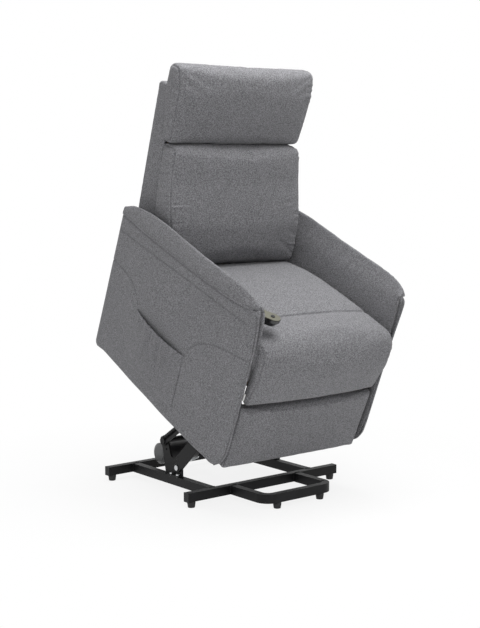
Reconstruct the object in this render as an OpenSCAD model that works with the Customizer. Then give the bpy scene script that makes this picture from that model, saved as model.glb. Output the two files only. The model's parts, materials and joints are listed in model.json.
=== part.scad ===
// Lift recliner chair, standing in its raised position.
// Millimetres, +Z up, the sitter faces -Y. The origin is on the floor, below the middle of the chair.
// The base, its links and the actuator are drawn as they stand. Everything the chair carries is drawn
// as it is when seated, and raised() then lifts and tips it to the raised position.

/* [Base frame] */
// Length of the front and rear crossbars
crossbar_len = 640; // [600:10:720]
// Distance between the crossbars' centre lines
crossbar_gap = 462; // [440:2:500]
// Width of the square-edged steel tube
tube_w = 25; // [22:1:28]
// Height of the steel tube
tube_h = 30; // [26:1:34]
// Wall of the steel tube
tube_wall = 2; // [1.5:0.25:3]
// Distance between the side rails' centre lines
rail_gap = 419; // [415:1:440]
// How far the front loop reaches past the front crossbar's centre line
loop_reach = 192; // [150:1:210]
// Outside width of the front loop
loop_w = 300; // [240:5:340]
// Height of a rubber foot
foot_h = 20; // [16:1:26]
// Diameter of a rubber foot
foot_d = 27; // [20:1:34]
// Distance of the base's centre behind the origin
base_back = 133; // [100:1:150]

/* [Lift linkage] */
// Lift link's fixed pivot behind the base's centre
lift_pivot_y = 45; // [30:1:60]
// Lift link's fixed pivot above the floor
lift_pivot_z = 159; // [150:1:170]
// Distance between a lift link's two pivots
lift_link_len = 325; // [315:1:335]
// Lift link's direction when raised, measured from the rear (+Y) upwards
lift_angle_up = 147; // [145:0.5:149]
// Turn of the lift link from raised to seated
lift_swing = 30; // [28:0.5:31]
// Forward tip of the chair when raised
lift_tilt = 26.4; // [24:0.2:28]
// Width of a lift link bar
link_w = 28; // [24:1:32]
// Thickness of the link bars and bracket plates
plate_t = 6; // [5:0.5:7]
// Diameter of the linkage pins
pin_d = 12; // [10:1:14]
// Radial running clearance of every pin
pin_gap = 0.05; // [0.02:0.01:0.1]
// Side clearance between neighbouring plates
plate_gap = 1; // [0.5:0.25:2]
// Front link's fixed pivot in front of the base's centre
front_pivot_y = -34; // [-44:1:-24]
// Front link's fixed pivot above the floor
front_pivot_z = 80; // [74:1:86]
// Width of a front link plate
front_link_w = 50; // [38:1:50]
// Play of the front link's open upper pivot
open_pivot_play = 3.6; // [3.4:0.1:5]

/* [Actuator] */
// Actuator's tail pin behind the base's centre
tail_y = 190; // [180:1:200]
// Actuator's tail pin above the floor
tail_z = 84; // [78:1:90]
// Motor housing's diameter
motor_d = 70; // [60:1:74]
// Motor housing's length across the chair
motor_len = 140; // [110:1:150]
// Length of the cranks on the torque tube
drive_radius = 110; // [104:1:114]
// Cranks' direction below the lift link
drive_angle = 60; // [55:1:63]
// Outside diameter of the torque tube
torque_d = 20; // [18:1:22]
// Outside diameter of the actuator's outer tube
outer_tube_d = 34; // [30:1:40]
// Diameter of the actuator's rod
rod_d = 20; // [16:1:22]

/* [Chair body] */
// Width between the arms' inner faces
inner_w = 568.6; // [560:0.2:590]
// Thickness of an arm at its lower edge
arm_t = 25; // [22:1:32]
// How far an arm's outer face bulges past its edges
arm_bulge = 15; // [6:1:18]
// Lower edge of the arms above the floor, seated
arm_low = 62; // [58:1:70]
// Height of the arm's rear end above its lower edge
arm_rear_h = 487; // [440:1:520]
// Rise of the arm's seam from rear to front
arm_rise = 56; // [30:1:70]
// Length of the arm along its lower edge
arm_len = 769; // [740:1:800]
// Rear end of the arm's lower edge behind the base's centre, seated
arm_rear_y = 275; // [265:1:285]
// Height of the arm's padding above its seam
arm_roll = 52; // [30:1:58]
// Diameter of the piping
piping_d = 8; // [5:0.5:10]

/* [Seat] */
// Height of the seat's front edge above the floor, seated
seat_top = 517; // [495:1:530]
// Height of the seat's padding at its sides
seat_t = 100; // [90:1:110]
// Front face of the seat in front of the base's centre, seated
seat_front = 512; // [505:1:530]
// Rear end of the seat cushion behind the base's centre, seated
seat_rear = 102; // [90:1:110]
// Crown of the seat cushion
seat_crown = 18; // [5:1:22]
// Lower edge of the seat's front apron above the floor, seated
apron_low = 300; // [296:1:320]
// Thickness of the front apron
apron_t = 62; // [54:1:66]
// Thickness of the seat frame's boards
board_t = 20; // [16:1:24]

/* [Back] */
// Lean of the back when upright
back_lean = 9.6; // [6:0.2:14]
// Recline hinge behind the base's centre, seated
hinge_y = 225; // [220:1:232]
// Recline hinge above the floor, seated
hinge_z = 400; // [395:1:406]
// Height of the back's shell above the hinge
shell_top = 617; // [580:1:640]
// Half width of the back's shell
shell_half_w = 256; // [240:1:260]
// Height of the headrest's lower edge above the hinge
head_low = 442; // [430:1:460]
// Height of the headrest's top above the hinge
head_top = 701; // [670:1:720]

/* [Leg rest] */
// Height of the leg panel's pad
leg_panel_h = 213; // [190:1:216]
// Thickness of the leg panel's pad
leg_pad_t = 46; // [36:1:48]
// Lower edge of the leg panel above the floor, seated
leg_panel_low = 73; // [70:1:84]
// Front face of the leg panel in front of the base's centre, seated
leg_front = 488; // [484:1:494]
// Distance between the pivots of a leg rest bar
leg_bar_len = 158; // [150:1:164]
// Width of a leg rest bar
leg_bar_w = 22; // [18:1:26]
// Thickness of a leg rest bar
leg_bar_t = 4; // [3:0.5:5]

/* [Side pocket] */
// Width of the side pocket's mouth
pocket_w = 286; // [240:2:300]
// Depth of the side pocket
pocket_depth = 200; // [150:5:220]
// Room inside the side pocket
pocket_room = 11; // [8:1:14]

/* [Handset] */
// Length of the handset
handset_len = 128; // [110:1:140]
// Width of the handset
handset_w = 46; // [40:1:52]
// Thickness of the handset
handset_t = 30; // [26:1:34]
// Diameter of a handset button
button_d = 13; // [10:0.5:15]
// Travel of a handset button
button_travel = 1; // [0.6:0.1:1.2]

/* [Hidden] */
$fn = 48;

steel_black = [0.09, 0.09, 0.10];
plastic_black = [0.06, 0.06, 0.07];
plastic_grey = [0.52, 0.53, 0.54];
zinc = [0.62, 0.63, 0.65];
rubber_black = [0.05, 0.05, 0.05];
fabric_grey = [0.42, 0.42, 0.44];
timber = [0.72, 0.58, 0.40];
cover_olive = [0.47, 0.47, 0.36];

// ---- base
base_top = foot_h + tube_h;
rail_x = rail_gap / 2;
front_y = -crossbar_gap / 2;
rear_y = crossbar_gap / 2;
foot_x = crossbar_len / 2 - foot_d / 2 - 5;
loop_foot_x = 92;
loop_front = front_y - loop_reach;
loop_bend = 48;

// ---- linkage planes across the chair, from the bracket outwards
bracket_in = rail_x - plate_t - 0.5;
link_in = bracket_in + plate_t + plate_gap;
side_in = link_in + plate_t + plate_gap;
bar_in = side_in + plate_t + plate_gap;
leg_link_in = bar_in + leg_bar_t + plate_gap;
leg_bracket_in = leg_link_in + leg_bar_t + plate_gap;

function toward(angle) = [cos(angle), sin(angle)];
lift_pivot = [lift_pivot_y, lift_pivot_z];
front_pivot = [front_pivot_y, front_pivot_z];
carriage_up = lift_pivot + lift_link_len * toward(lift_angle_up);
carriage_down = lift_pivot + lift_link_len * toward(lift_angle_up + lift_swing);
// The front link's upper pivot, from the lift link's upper pivot, seated
front_offset = [-52.2, -28.6];
front_down = carriage_down + front_offset;
front_up = carriage_up + turned(front_offset, lift_tilt);
front_len = norm(front_up - front_pivot);
drive_up = lift_pivot + drive_radius * toward(lift_angle_up + drive_angle);
tail = [tail_y, tail_z];
actuator_dir = drive_up - tail;
actuator_angle = atan2(actuator_dir[1], actuator_dir[0]);
actuator_len = norm(actuator_dir);
actuator_x = 22;

// ---- carriage, seated
half_in = inner_w / 2;
half_out = half_in + arm_t;
spring_wire = 4;
spring_gap = 0.3;
frame_top = seat_top - seat_t - spring_wire - 2 * spring_gap;
frame_low = frame_top - 70;
side_board_in = side_in + plate_t;
side_board_out = side_board_in + board_t;
frame_front = -(seat_front - apron_t - 14);
frame_rear = hinge_y - 35;
leg_pivot = [-300, 262];
leg_board_t = 12;
leg_pad_back = -(leg_front - leg_pad_t);
leg_panel_pivot = [leg_pad_back + leg_board_t + leg_bar_w / 2 + 1.5, 259];
leg_knee = (leg_pivot + leg_panel_pivot) / 2
    + turned(unit(leg_panel_pivot - leg_pivot), 90) * sqrt(pow(leg_bar_len, 2) - pow(norm(leg_panel_pivot - leg_pivot) / 2, 2));
soft_gap = 0.4;

// ---- shapes that repeat

function unit(v) = v / norm(v);
function share(v) = max(0, min(1, v));
function turned(v, a) = [v[0] * cos(a) - v[1] * sin(a), v[0] * sin(a) + v[1] * cos(a)];

// The points of a corner at b, between a and c, rounded with radius r
function corner(a, b, c, r, n) =
    let (u = unit(a - b), v = unit(c - b), half = acos(u * v) / 2, sweep = 180 - 2 * half,
         middle = b + unit(u + v) * (r / sin(half)),
         first = b + u * (r / tan(half)) - middle, last = b + v * (r / tan(half)) - middle)
    [for (i = [0 : n]) middle + (first * sin(sweep * (1 - i / n)) + last * sin(sweep * i / n)) / sin(sweep)];

// An outline whose corners, each [first, second, radius], are rounded
function rounded(corners, n = 4) =
    let (count = len(corners), at = function (i) let (p = corners[(i + count) % count]) [p[0], p[1]])
    [for (i = [0 : count - 1])
        each corners[i][2] > 0 ? corner(at(i - 1), at(i), at(i + 1), corners[i][2], n) : [at(i)]];

module along_x(d, h) rotate([0, 90, 0]) cylinder(d = d, h = h, center = true);

// A plate in the YZ plane, from x to x + t, with the outline in Y and Z
module plate(x, t, outline) translate([x, 0, 0]) rotate([90, 0, 90]) linear_extrude(t) polygon(outline);

// A bar in the YZ plane with round ends at a and b
module bar_2d(a, b, w) {
    translate(a) circle(d = w);
    translate(b) circle(d = w);
    translate(a) rotate(atan2(b[1] - a[1], b[0] - a[0])) translate([0, -w / 2]) square([norm(b - a), w]);
}

module both_sides() {
    children();
    mirror([1, 0, 0]) children();
}

// A straight tube along Y or X, centred on its length, on the floor side at height foot_h
module square_tube(length) {
    difference() {
        cube([length, tube_w, tube_h], center = true);
        cube([length + 2, tube_w - 2 * tube_wall, tube_h - 2 * tube_wall], center = true);
    }
}

// The base's own frame, whose centre is behind the origin
module placed() translate([0, base_back, 0]) children();

// Lifts what is drawn seated into the raised position
module raised()
    placed() translate([0, carriage_up[0], carriage_up[1]]) rotate([lift_tilt, 0, 0])
        translate([0, -carriage_down[0], -carriage_down[1]]) children();

// The back's own frame: its origin at the recline hinge, +Z up the back, inside the carriage
module on_back() raised() translate([0, hinge_y, hinge_z]) rotate([-back_lean, 0, 0]) children();

// A closed skin over rings of points, each ring counter-clockwise seen from the last ring's side
module skin(rings, first_hub, last_hub) {
    m = len(rings[0]);
    n = len(rings);
    points = concat([for (ring = rings) each ring], [first_hub, last_hub]);
    sides = [for (j = [0 : n - 2], i = [0 : m - 1])
        let (k = (i + 1) % m, a = j * m + i, b = a + m, c = (j + 1) * m + k, d = j * m + k)
        each [[a, b, c], [a, c, d]]];
    first_cap = [for (i = [0 : m - 1]) [n * m, i, (i + 1) % m]];
    last_cap = [for (i = [0 : m - 1]) [n * m + 1, (n - 1) * m + (i + 1) % m, (n - 1) * m + i]];
    polyhedron(points, concat(sides, first_cap, last_cap), convexity = 6);
}

function mean(points) = [for (k = [0 : len(points[0]) - 1]) sum([for (p = points) p[k]]) / len(points)];
function sum(v, i = 0) = i < len(v) ? v[i] + sum(v, i + 1) : 0;

// A stuffed form. The outline, in Y and Z and counter-clockwise seen from +X, is carried across X, rounded
// into both sides by edge, and pushed out by crown(point, normal) in the middle. half_w(point) is its half width.
// The points at height level are moved level, so that a form can join another there.
module stuffed(outline, half_w, edge, crown, hub, level = -1) {
    m = len(outline);
    normals = [for (i = [0 : m - 1])
        let (d = outline[(i + 1) % m] - outline[(i + m - 1) % m], n = unit([d[1], -d[0]]))
        abs(outline[i][1] - level) < 0.01 ? [sign(n[0]), 0] : n];
    puff = [for (i = [0 : m - 1]) crown(outline[i], normals[i])];
    // Each station is [share of the half width that is flat, share of the edge, inset, crown]
    turn = [90, 60, 30, 0];
    ends = [for (a = turn) [1, sin(a) - 1, edge * (1 - cos(a)), 0.3 * (1 - sin(a))]];
    middle = [for (s = [0.72, 0.38, 0]) [s, -s, 0, 1 - pow(s, 2.4) * 0.82]];
    halfway = concat(ends, middle);
    stations = concat([for (s = halfway) [-s[0], -s[1], s[2], s[3]]],
                      [for (i = [len(halfway) - 2 : -1 : 0]) halfway[i]]);
    rings = [for (s = stations) [for (i = [0 : m - 1])
        let (p = outline[i] + normals[i] * (puff[i] * s[3] - s[2]))
        [s[0] * half_w(outline[i]) + s[1] * edge, p[0], p[1]]]];
    x_end = half_w(hub);
    skin(rings, [-x_end, hub[0], hub[1]], [x_end, hub[0], hub[1]]);
}

// A round tube of radius r along a path that lies near the YZ plane
module piped(path, r, sides = 6) {
    n = len(path);
    rings = [for (k = [0 : n - 1])
        let (t = unit(path[min(k + 1, n - 1)] - path[max(k - 1, 0)]),
             u = unit(cross(t, [1, 0, 0])), v = cross(t, u))
        [for (i = [0 : sides - 1]) path[k] + r * (cos(360 * i / sides) * u + sin(360 * i / sides) * v)]];
    skin(rings, path[0], path[n - 1]);
}

// A closed sheet between two grids of points, back and front, that have as many rows and columns
module sheet(back, front) {
    rows = len(back);
    m = len(back[0]);
    ring = 2 * m;
    points = [for (j = [0 : rows - 1]) each concat(back[j], [for (i = [m - 1 : -1 : 0]) front[j][i]])];
    sides = [for (j = [0 : rows - 2], i = [0 : ring - 1])
        let (a = j * ring + i, d = j * ring + (i + 1) % ring, b = a + ring, c = d + ring)
        each [[a, b, c], [a, c, d]]];
    edge = function (base) [for (i = [0 : m - 2])
        let (a = base + i, b = a + 1, d = base + ring - 1 - i, c = d - 1) each [[a, b, c], [a, c, d]]];
    far = [for (f = edge((rows - 1) * ring)) [f[0], f[2], f[1]]];
    polyhedron(points, concat(sides, edge(0), far), convexity = 8);
}

// ---- base

module crossbar(y) color(steel_black) placed() difference() {
    translate([0, y, foot_h + tube_h / 2]) square_tube(crossbar_len);
    for (s = [-1, 1]) translate([s * foot_x, y, foot_h - 1]) cylinder(d = 8.4, h = tube_wall + 2);
}

module rear_crossbar() crossbar(rear_y);
module front_crossbar() crossbar(front_y);

module rail(side) color(steel_black) placed() difference() {
    translate([side * rail_x, 0, foot_h + tube_h / 2]) rotate([0, 0, 90]) square_tube(crossbar_gap - tube_w);
    for (y = bracket_bolt_y) translate([side * (bracket_in + 15), y, base_top - tube_wall - 1]) cylinder(d = 8.4, h = tube_wall + 2);
}

module left_rail() rail(1);
module right_rail() rail(-1);

// The loop's centre line is a rectangle with two bent corners, open at the front crossbar
module loop_ring(inset, height) translate([0, 0, foot_h + (tube_h - height) / 2]) linear_extrude(height)
    difference() {
        loop_shape(inset);
        loop_shape(tube_w - inset);
        translate([-loop_w, front_y - tube_w / 2]) square([2 * loop_w, loop_reach]);
    }

module loop_shape(inset) {
    w = loop_w - 2 * inset;
    bend = loop_bend - inset;
    polygon(concat([[w / 2, front_y]],
        [for (a = [0 : -6 : -90]) [w / 2 - bend + bend * cos(a), loop_front + inset + bend + bend * sin(a)]],
        [for (a = [-90 : -6 : -180]) [bend - w / 2 + bend * cos(a), loop_front + inset + bend + bend * sin(a)]],
        [[-w / 2, front_y]]));
}

module front_loop() color(steel_black) placed() difference() {
    loop_ring(0, tube_h);
    loop_ring(tube_wall, tube_h - 2 * tube_wall);
    for (s = [-1, 1]) translate([s * loop_foot_x, loop_front + tube_w / 2, foot_h - 1])
        cylinder(d = 8.4, h = tube_wall + 2);
}

module crossbar_caps() color(plastic_black) placed()
    for (s = [-1, 1], y = [front_y, rear_y]) translate([s * crossbar_len / 2, y, foot_h + tube_h / 2]) {
        translate([s * 1.5, 0, 0]) cube([3, tube_w + 1, tube_h + 1], center = true);
        translate([-s * 4, 0, 0])
            cube([8, tube_w - 2 * tube_wall - 0.4, tube_h - 2 * tube_wall - 0.4], center = true);
    }

module at_feet() placed() {
    for (s = [-1, 1], y = [front_y, rear_y]) translate([s * foot_x, y, 0]) children();
    for (s = [-1, 1]) translate([s * loop_foot_x, loop_front + tube_w / 2, 0]) children();
}

module base_feet() color(rubber_black) at_feet() difference() {
    union() {
        cylinder(d1 = foot_d - 4, d2 = foot_d, h = foot_h * 0.7);
        translate([0, 0, foot_h * 0.7]) cylinder(d = foot_d, h = foot_h * 0.3);
    }
    translate([0, 0, -1]) cylinder(d = 14, h = 7);
    cylinder(d = 8 + 2 * pin_gap, h = foot_h + 1);
}

// Each screw rises through its foot and the tube's lower wall into a nut inside the tube
module foot_screws() color(zinc) at_feet() {
    translate([0, 0, 2.5]) cylinder(d = 13, h = 3.5);
    translate([0, 0, 6]) cylinder(d = 8, h = foot_h + tube_wall);
    translate([0, 0, foot_h + tube_wall]) cylinder(d = 13, h = 5, $fn = 6);
}

// ---- lift brackets and pins

// The bracket is a leaning upright with a gusset at its foot, standing on the side rail
bracket_outline = rounded([
    [front_pivot_y - 20, base_top, 3], [lift_pivot_y - 6, base_top, 6],
    [lift_pivot_y + 20, lift_pivot_z + 4, 13], [lift_pivot_y + 4, lift_pivot_z + 22, 11],
    [lift_pivot_y - 17, lift_pivot_z + 8, 10], [lift_pivot_y - 36, base_top + 60, 20],
    [front_pivot_y + 6, front_pivot_z + 18, 10], [front_pivot_y - 20, front_pivot_z + 10, 8]], 5);

module lift_bracket(side) color(steel_black) placed() mirror([side < 0 ? 1 : 0, 0, 0]) difference() {
    union() {
        plate(bracket_in, plate_t, bracket_outline);
        translate([bracket_in, front_pivot_y - 20, base_top]) cube([22, 62, 5]);
    }
    pin_hole(lift_pivot, bracket_in, torque_d + 2 * pin_gap);
    pin_hole(front_pivot, bracket_in);
    pin_hole(lift_pivot + [-12, -27], bracket_in, 8);
    for (y = bracket_bolt_y) translate([bracket_in + 15, y, base_top - 1]) cylinder(d = 8.4, h = 8);
}

bracket_bolt_y = [front_pivot_y - 8, front_pivot_y + 28];

module pin_hole(at, x, d = pin_d + 2 * pin_gap)
    translate([x + plate_t / 2, at[0], at[1]]) along_x(d, plate_t + 4);

module left_lift_bracket() lift_bracket(1);
module right_lift_bracket() lift_bracket(-1);

module bracket_bolts() color(zinc) placed() both_sides()
    for (y = bracket_bolt_y) translate([bracket_in + 15, y, base_top + 5]) {
        cylinder(d = 13, h = 5, $fn = 6);
        translate([0, 0, -7]) cylinder(d = 8, h = 8);
    }

// A headed pin from x_in to x_out at a point in Y and Z
module headed_pin(at, x_in, x_out) translate([0, at[0], at[1]]) {
    translate([(x_in + x_out) / 2, 0, 0]) along_x(pin_d, x_out - x_in);
    translate([x_in - 2.5, 0, 0]) along_x(pin_d + 7, 5);
    translate([x_out + 1.5, 0, 0]) along_x(pin_d + 6, 3);
}

module base_pivot_pins() color(zinc) placed() both_sides() {
    headed_pin(front_pivot, bracket_in - 0.3, link_in + plate_t + 0.4);
}

// ---- lift links and front links

module lift_link(side) color(steel_black) placed() mirror([side < 0 ? 1 : 0, 0, 0]) difference() {
    translate([link_in, 0, 0]) rotate([90, 0, 90]) linear_extrude(plate_t) {
        bar_2d(lift_pivot, carriage_up, link_w);
        translate(lift_pivot) circle(d = torque_d + 14);
    }
    pin_hole(lift_pivot, link_in, torque_d + 2 * pin_gap);
    pin_hole(carriage_up, link_in);
}

module left_lift_link() lift_link(1);
module right_lift_link() lift_link(-1);

// The torque tube joins the lift links through the brackets, and cranks at its middle carry the drive pin
crank_in = 14;
crank_t = 6;
drive_pin_d = 12;

module torque_tube() color(steel_black) placed() translate([0, lift_pivot[0], lift_pivot[1]]) {
    difference() {
        along_x(torque_d, 2 * (link_in + plate_t + 0.5));
        along_x(torque_d - 6, 2 * (link_in + plate_t) + 3);
    }
    for (s = [-1, 1]) translate([s * (link_in + plate_t + 2), 0, 0]) along_x(torque_d + 5, 3);
}

module drive_cranks() color(steel_black) placed() {
    for (x = [-crank_in - crank_t, crank_in]) difference() {
        translate([actuator_x + x, 0, 0]) rotate([90, 0, 90]) linear_extrude(crank_t) {
            bar_2d(lift_pivot, drive_up, 26);
            translate(lift_pivot) circle(d = torque_d + 14);
        }
        translate([actuator_x, lift_pivot[0], lift_pivot[1]]) along_x(torque_d + 2 * pin_gap, 60);
    }
    translate([actuator_x, drive_up[0], drive_up[1]]) along_x(drive_pin_d, 2 * crank_in);
}

module front_link(side) color(steel_black) placed() mirror([side < 0 ? 1 : 0, 0, 0]) difference() {
    translate([link_in, 0, 0]) rotate([90, 0, 90]) linear_extrude(plate_t) {
        bar_2d(front_pivot, front_up, link_w + 4);
        translate(front_pivot) rotate(atan2(front_up[1] - front_pivot[1], front_up[0] - front_pivot[0]))
            translate([20, 20 - front_link_w]) square([front_len - 120, front_link_w]);
    }
    pin_hole(front_pivot, link_in);
    pin_hole(front_up, link_in, pin_d + 2 * open_pivot_play);
}

module left_front_link() front_link(1);
module right_front_link() front_link(-1);

// ---- actuator: the tail pin is its origin, and it reaches along +Y

module on_actuator() placed() translate([actuator_x, tail_y, tail_z]) rotate([actuator_angle, 0, 0]) children();

mount_in = 13;
tail_w = 22;

module motor_mount() color(zinc) placed() {
    for (s = [-1, 1]) difference() {
        plate(actuator_x + (s > 0 ? mount_in : -mount_in - 4), 4, rounded([
            [rear_y - tube_w / 2, foot_h + 2, 0], [rear_y - tube_w / 2, base_top, 4],
            [tail_y + 12, tail_z + 12, 10], [tail_y - 12, tail_z + 10, 10], [tail_y - 10, foot_h + 20, 8]]));
        translate([actuator_x, tail_y, tail_z]) along_x(10 + 2 * pin_gap, 60);
    }
    translate([actuator_x - mount_in, rear_y - tube_w / 2 - 4, foot_h + 2]) cube([2 * mount_in, 4, 24]);
}

module tail_pin() color(zinc) placed() translate([actuator_x, tail_y, tail_z]) {
    along_x(10, 2 * mount_in + 14);
    translate([-mount_in - 9, 0, 0]) along_x(15, 4);
    translate([mount_in + 8.5, 0, 0]) along_x(13, 3);
}

motor_offset = 40;
motor_side = 28;

module motor_housing() color(plastic_black) on_actuator() difference() {
    union() {
        translate([0, motor_offset, 0]) {
            translate([-motor_len / 2 - motor_side, 0, 0]) along_x(motor_d, motor_len);
            translate([8, 4, 0]) cube([52, 36, 62], center = true);
            translate([-motor_side, 4, 0]) along_x(34, 24);
        }
        along_x(26, tail_w);
        translate([0, 14, 0]) cube([tail_w, 28, 22], center = true);
    }
    along_x(10 + 2 * pin_gap, 60);
    translate([0, motor_offset + 10, 0]) rotate([-90, 0, 0]) cylinder(d = outer_tube_d, h = 40);
}

module motor_cap() color(plastic_grey) on_actuator() translate([-motor_len - motor_side, motor_offset, 0]) {
    translate([-4, 0, 0]) along_x(motor_d + 4, 8);
    rotate([0, -90, 0]) translate([0, 0, 8]) cylinder(d1 = motor_d + 4, d2 = motor_d - 18, h = 7);
}

outer_tube_end = 172;
rod_start = 108;

module actuator_tube() color(plastic_grey) on_actuator() difference() {
    translate([0, motor_offset + 10, 0]) rotate([-90, 0, 0]) {
        cylinder(d = outer_tube_d, h = outer_tube_end - motor_offset - 10);
        translate([0, 0, outer_tube_end - motor_offset - 28]) cylinder(d = outer_tube_d + 8, h = 18);
    }
    translate([0, motor_offset + 14, 0]) rotate([-90, 0, 0]) cylinder(d = rod_d + 3.4, h = outer_tube_end);
}

// The rod ends in an eye on the drive pin
module actuator_rod() color(zinc) on_actuator() difference() {
    union() {
        translate([0, rod_start, 0]) rotate([-90, 0, 0]) cylinder(d = rod_d, h = actuator_len - rod_start - 10);
        translate([0, actuator_len, 0]) along_x(drive_pin_d + 14, 2 * crank_in - 2);
    }
    translate([0, actuator_len, 0]) along_x(drive_pin_d + 2 * pin_gap, 40);
}

// ---- carriage: side plates, seat frame and pins

side_plate_outline = rounded([
    [carriage_down[0] + 20, carriage_down[1] - 18, 14], [carriage_down[0] + 60, frame_low - 30, 30],
    [frame_rear - 120, frame_low + 12, 8], [frame_rear - 120, frame_low + 40, 8],
    [leg_pivot[0] - 60, frame_low + 40, 8], [leg_pivot[0] - 22, leg_pivot[1] - 6, 14],
    [front_down[0] - 18, front_down[1] + 2, 14], [front_down[0] - 4, front_down[1] - 20, 12]], 5);

module side_plate(side) color(steel_black) raised() mirror([side < 0 ? 1 : 0, 0, 0]) difference() {
    plate(side_in, plate_t, side_plate_outline);
    pin_hole(carriage_down, side_in);
    pin_hole(front_down, side_in);
    pin_hole(leg_pivot, side_in);
}

module left_side_plate() side_plate(1);
module right_side_plate() side_plate(-1);

module carriage_pins() color(zinc) raised() both_sides() {
    for (at = [carriage_down, front_down]) translate([0, at[0], at[1]]) {
        translate([(link_in - 0.6 + side_in + plate_t) / 2, 0, 0]) along_x(pin_d, side_in + plate_t - link_in + 0.6);
        translate([link_in - 3.1, 0, 0]) along_x(pin_d + 7, 5);
    }
    translate([0, leg_pivot[0], leg_pivot[1]]) {
        translate([(side_in + bar_in + leg_bar_t) / 2, 0, 0]) along_x(pin_d, bar_in + leg_bar_t - side_in + 2);
        translate([side_in - 3, 0, 0]) along_x(pin_d + 7, 5);
        translate([bar_in + leg_bar_t + 2, 0, 0]) along_x(pin_d + 6, 2.6);
    }
}

module seat_side_boards() color(timber) raised() both_sides() difference() {
    translate([side_board_in, frame_front, frame_low]) cube([board_t, frame_rear - frame_front, frame_top - frame_low]);
    for (at = block_bolts) translate([side_board_in + board_t / 2, at[0], at[1]]) along_x(8.4, board_t + 2);
}

module seat_cross_boards() color(timber) raised() for (y = [frame_front, frame_rear - board_t])
    translate([-side_board_in, y, frame_low + 10]) cube([2 * side_board_in, board_t, frame_top - frame_low - 10]);

spring_count = 5;

// Zigzag springs span the seat frame from front to rear; each bend is a half ring
module seat_springs() color(zinc) raised() for (k = [0 : spring_count - 1])
    translate([(k - (spring_count - 1) / 2) * 78, 0, frame_top + spring_wire / 2 + spring_gap]) {
        first = frame_front + 12;
        pitch = 24;
        turns = floor((frame_rear - board_t / 2 - first) / pitch);
        for (i = [0 : turns - 1]) translate([(i % 2 == 0 ? 1 : -1) * 13, first + pitch * (i + 0.5), 0])
            rotate([0, 0, i % 2 == 0 ? -90 : 90]) rotate_extrude(angle = 180, $fn = 24)
                translate([pitch / 2, 0]) circle(d = spring_wire, $fn = 13);
        for (i = [0 : turns]) translate([0, first + pitch * i, 0]) along_x(spring_wire, 26, $fn = 13);
    }

seat_seam = -346;
seat_edge = 20;
seat_join = seat_top - seat_t - 17;

// The seat's filling is a slab that turns down at the front and, under it, an apron block. Each outline meets the
// level where they join with an upright front and back, so that the one cover runs on over both.
slab_outline = rounded([
    [seat_rear, seat_top - seat_t, seat_edge + 1], [seat_rear, seat_top - 54, seat_edge + 1], [46, seat_top - 43, 0],
    [-24, seat_top - 25, 0], [-110, seat_top - 11, 0], [-230, seat_top - 3, 0],
    [seat_seam + 9, seat_top + 1, 0], [seat_seam, seat_top - 6, 0], [seat_seam - 9, seat_top + 1, 0],
    [-seat_front + 4, seat_top + 4, 54], [-seat_front, seat_join, 0],
    [-seat_front + apron_t, seat_join, 0], [-seat_front + apron_t, seat_top - seat_t, 16]], 4);
apron_outline = rounded([
    [-seat_front, seat_join - soft_gap, 0], [-seat_front + 22, apron_low, seat_edge + 1],
    [-seat_front + apron_t, apron_low, seat_edge + 0.5], [-seat_front + apron_t, seat_join - soft_gap, 0]], 4);

seat_puff = function (p, n) seat_crown * share(n * [-1, 1.1]) * share((60 - p[0]) / 120);

module seat_cushion() color(fabric_grey) raised() {
    stuffed(slab_outline, function (p) half_in - 7, seat_edge, seat_puff,
        [-seat_front + apron_t / 2, seat_top - seat_t / 2], seat_join);
    stuffed(apron_outline, function (p) half_in - 7, seat_edge, seat_puff,
        [-seat_front + apron_t / 2, (apron_low + seat_join) / 2], seat_join - soft_gap);
}

// ---- arms

// The arm's front and rear edges at height z, and its seam's height at share t from rear to front
function seam_z(t) = arm_low + arm_rear_h + arm_rise * t + corner_lift * pow(t, 8);
function arm_rear(z) = arm_rear_y + (z - arm_low) * 0.0763;
function arm_front(z, top) =
    arm_rear_y - arm_len + (z - arm_low - 88) * 0.0856
    + pow(max(0, arm_low + 88 - z), 2) * 0.0057 + pow(max(0, z - top + 44), 2) * 0.016;
function arm_y(z, t) = arm_rear(z) + (arm_front(z, seam_z(1)) - arm_rear(z)) * t;
function bulge(t, up) = arm_bulge * (1 - pow(abs(2 * t - 1), 3)) * pow(sin(180 * min(0.62, 0.08 + up * 0.6)), 0.8)
    + front_flare * pow(t, 3) * pow(up, 7) - front_taper * pow(t, 6) * (1 - pow(up, 6));
// How far out an arm's outer face is at a point in Y and Z
function arm_face(y, z) =
    let (t = (arm_rear(z) - y) / (arm_rear(z) - arm_front(z, seam_z(1))))
    half_out + bulge(t, (z - arm_low) / (seam_z(t) - arm_low));
corner_lift = 20;
front_flare = 6;
front_taper = 13;
arm_stations = [0, 0.02, 0.08, 0.2, 0.35, 0.5, 0.65, 0.8, 0.9, 0.96, 0.985, 1];
arm_heights = [0, 0.03, 0.1, 0.22, 0.38, 0.56, 0.74, 0.88, 0.96, 1];
panel_in = half_in + 12;
panel_edge = 3;

// The outer panel, bulging outwards, from the lower edge to the seam
module arm_panel(side) color(fabric_grey) raised() mirror([side < 0 ? 1 : 0, 0, 0]) {
    rings = [for (t = arm_stations)
        let (top = seam_z(t), outer = [for (h = arm_heights)
                let (z = arm_low + (top - arm_low) * h, edge = 3 * pow(abs(2 * h - 1), 8) + 4 * pow(abs(2 * t - 1), 20))
                [max(half_out - edge + bulge(t, h), panel_in + panel_edge), arm_y(z, t), z]],
             inner = [for (h = [1, 0.75, 0.5, 0.25, 0]) let (z = arm_low + (top - arm_low) * h)
                [panel_in, arm_y(z, t), z]])
        concat(inner, outer)];
    skin(rings, mean(rings[0]), mean(rings[len(rings) - 1]));
}

module left_arm_panel() arm_panel(1);
module right_arm_panel() arm_panel(-1);

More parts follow.
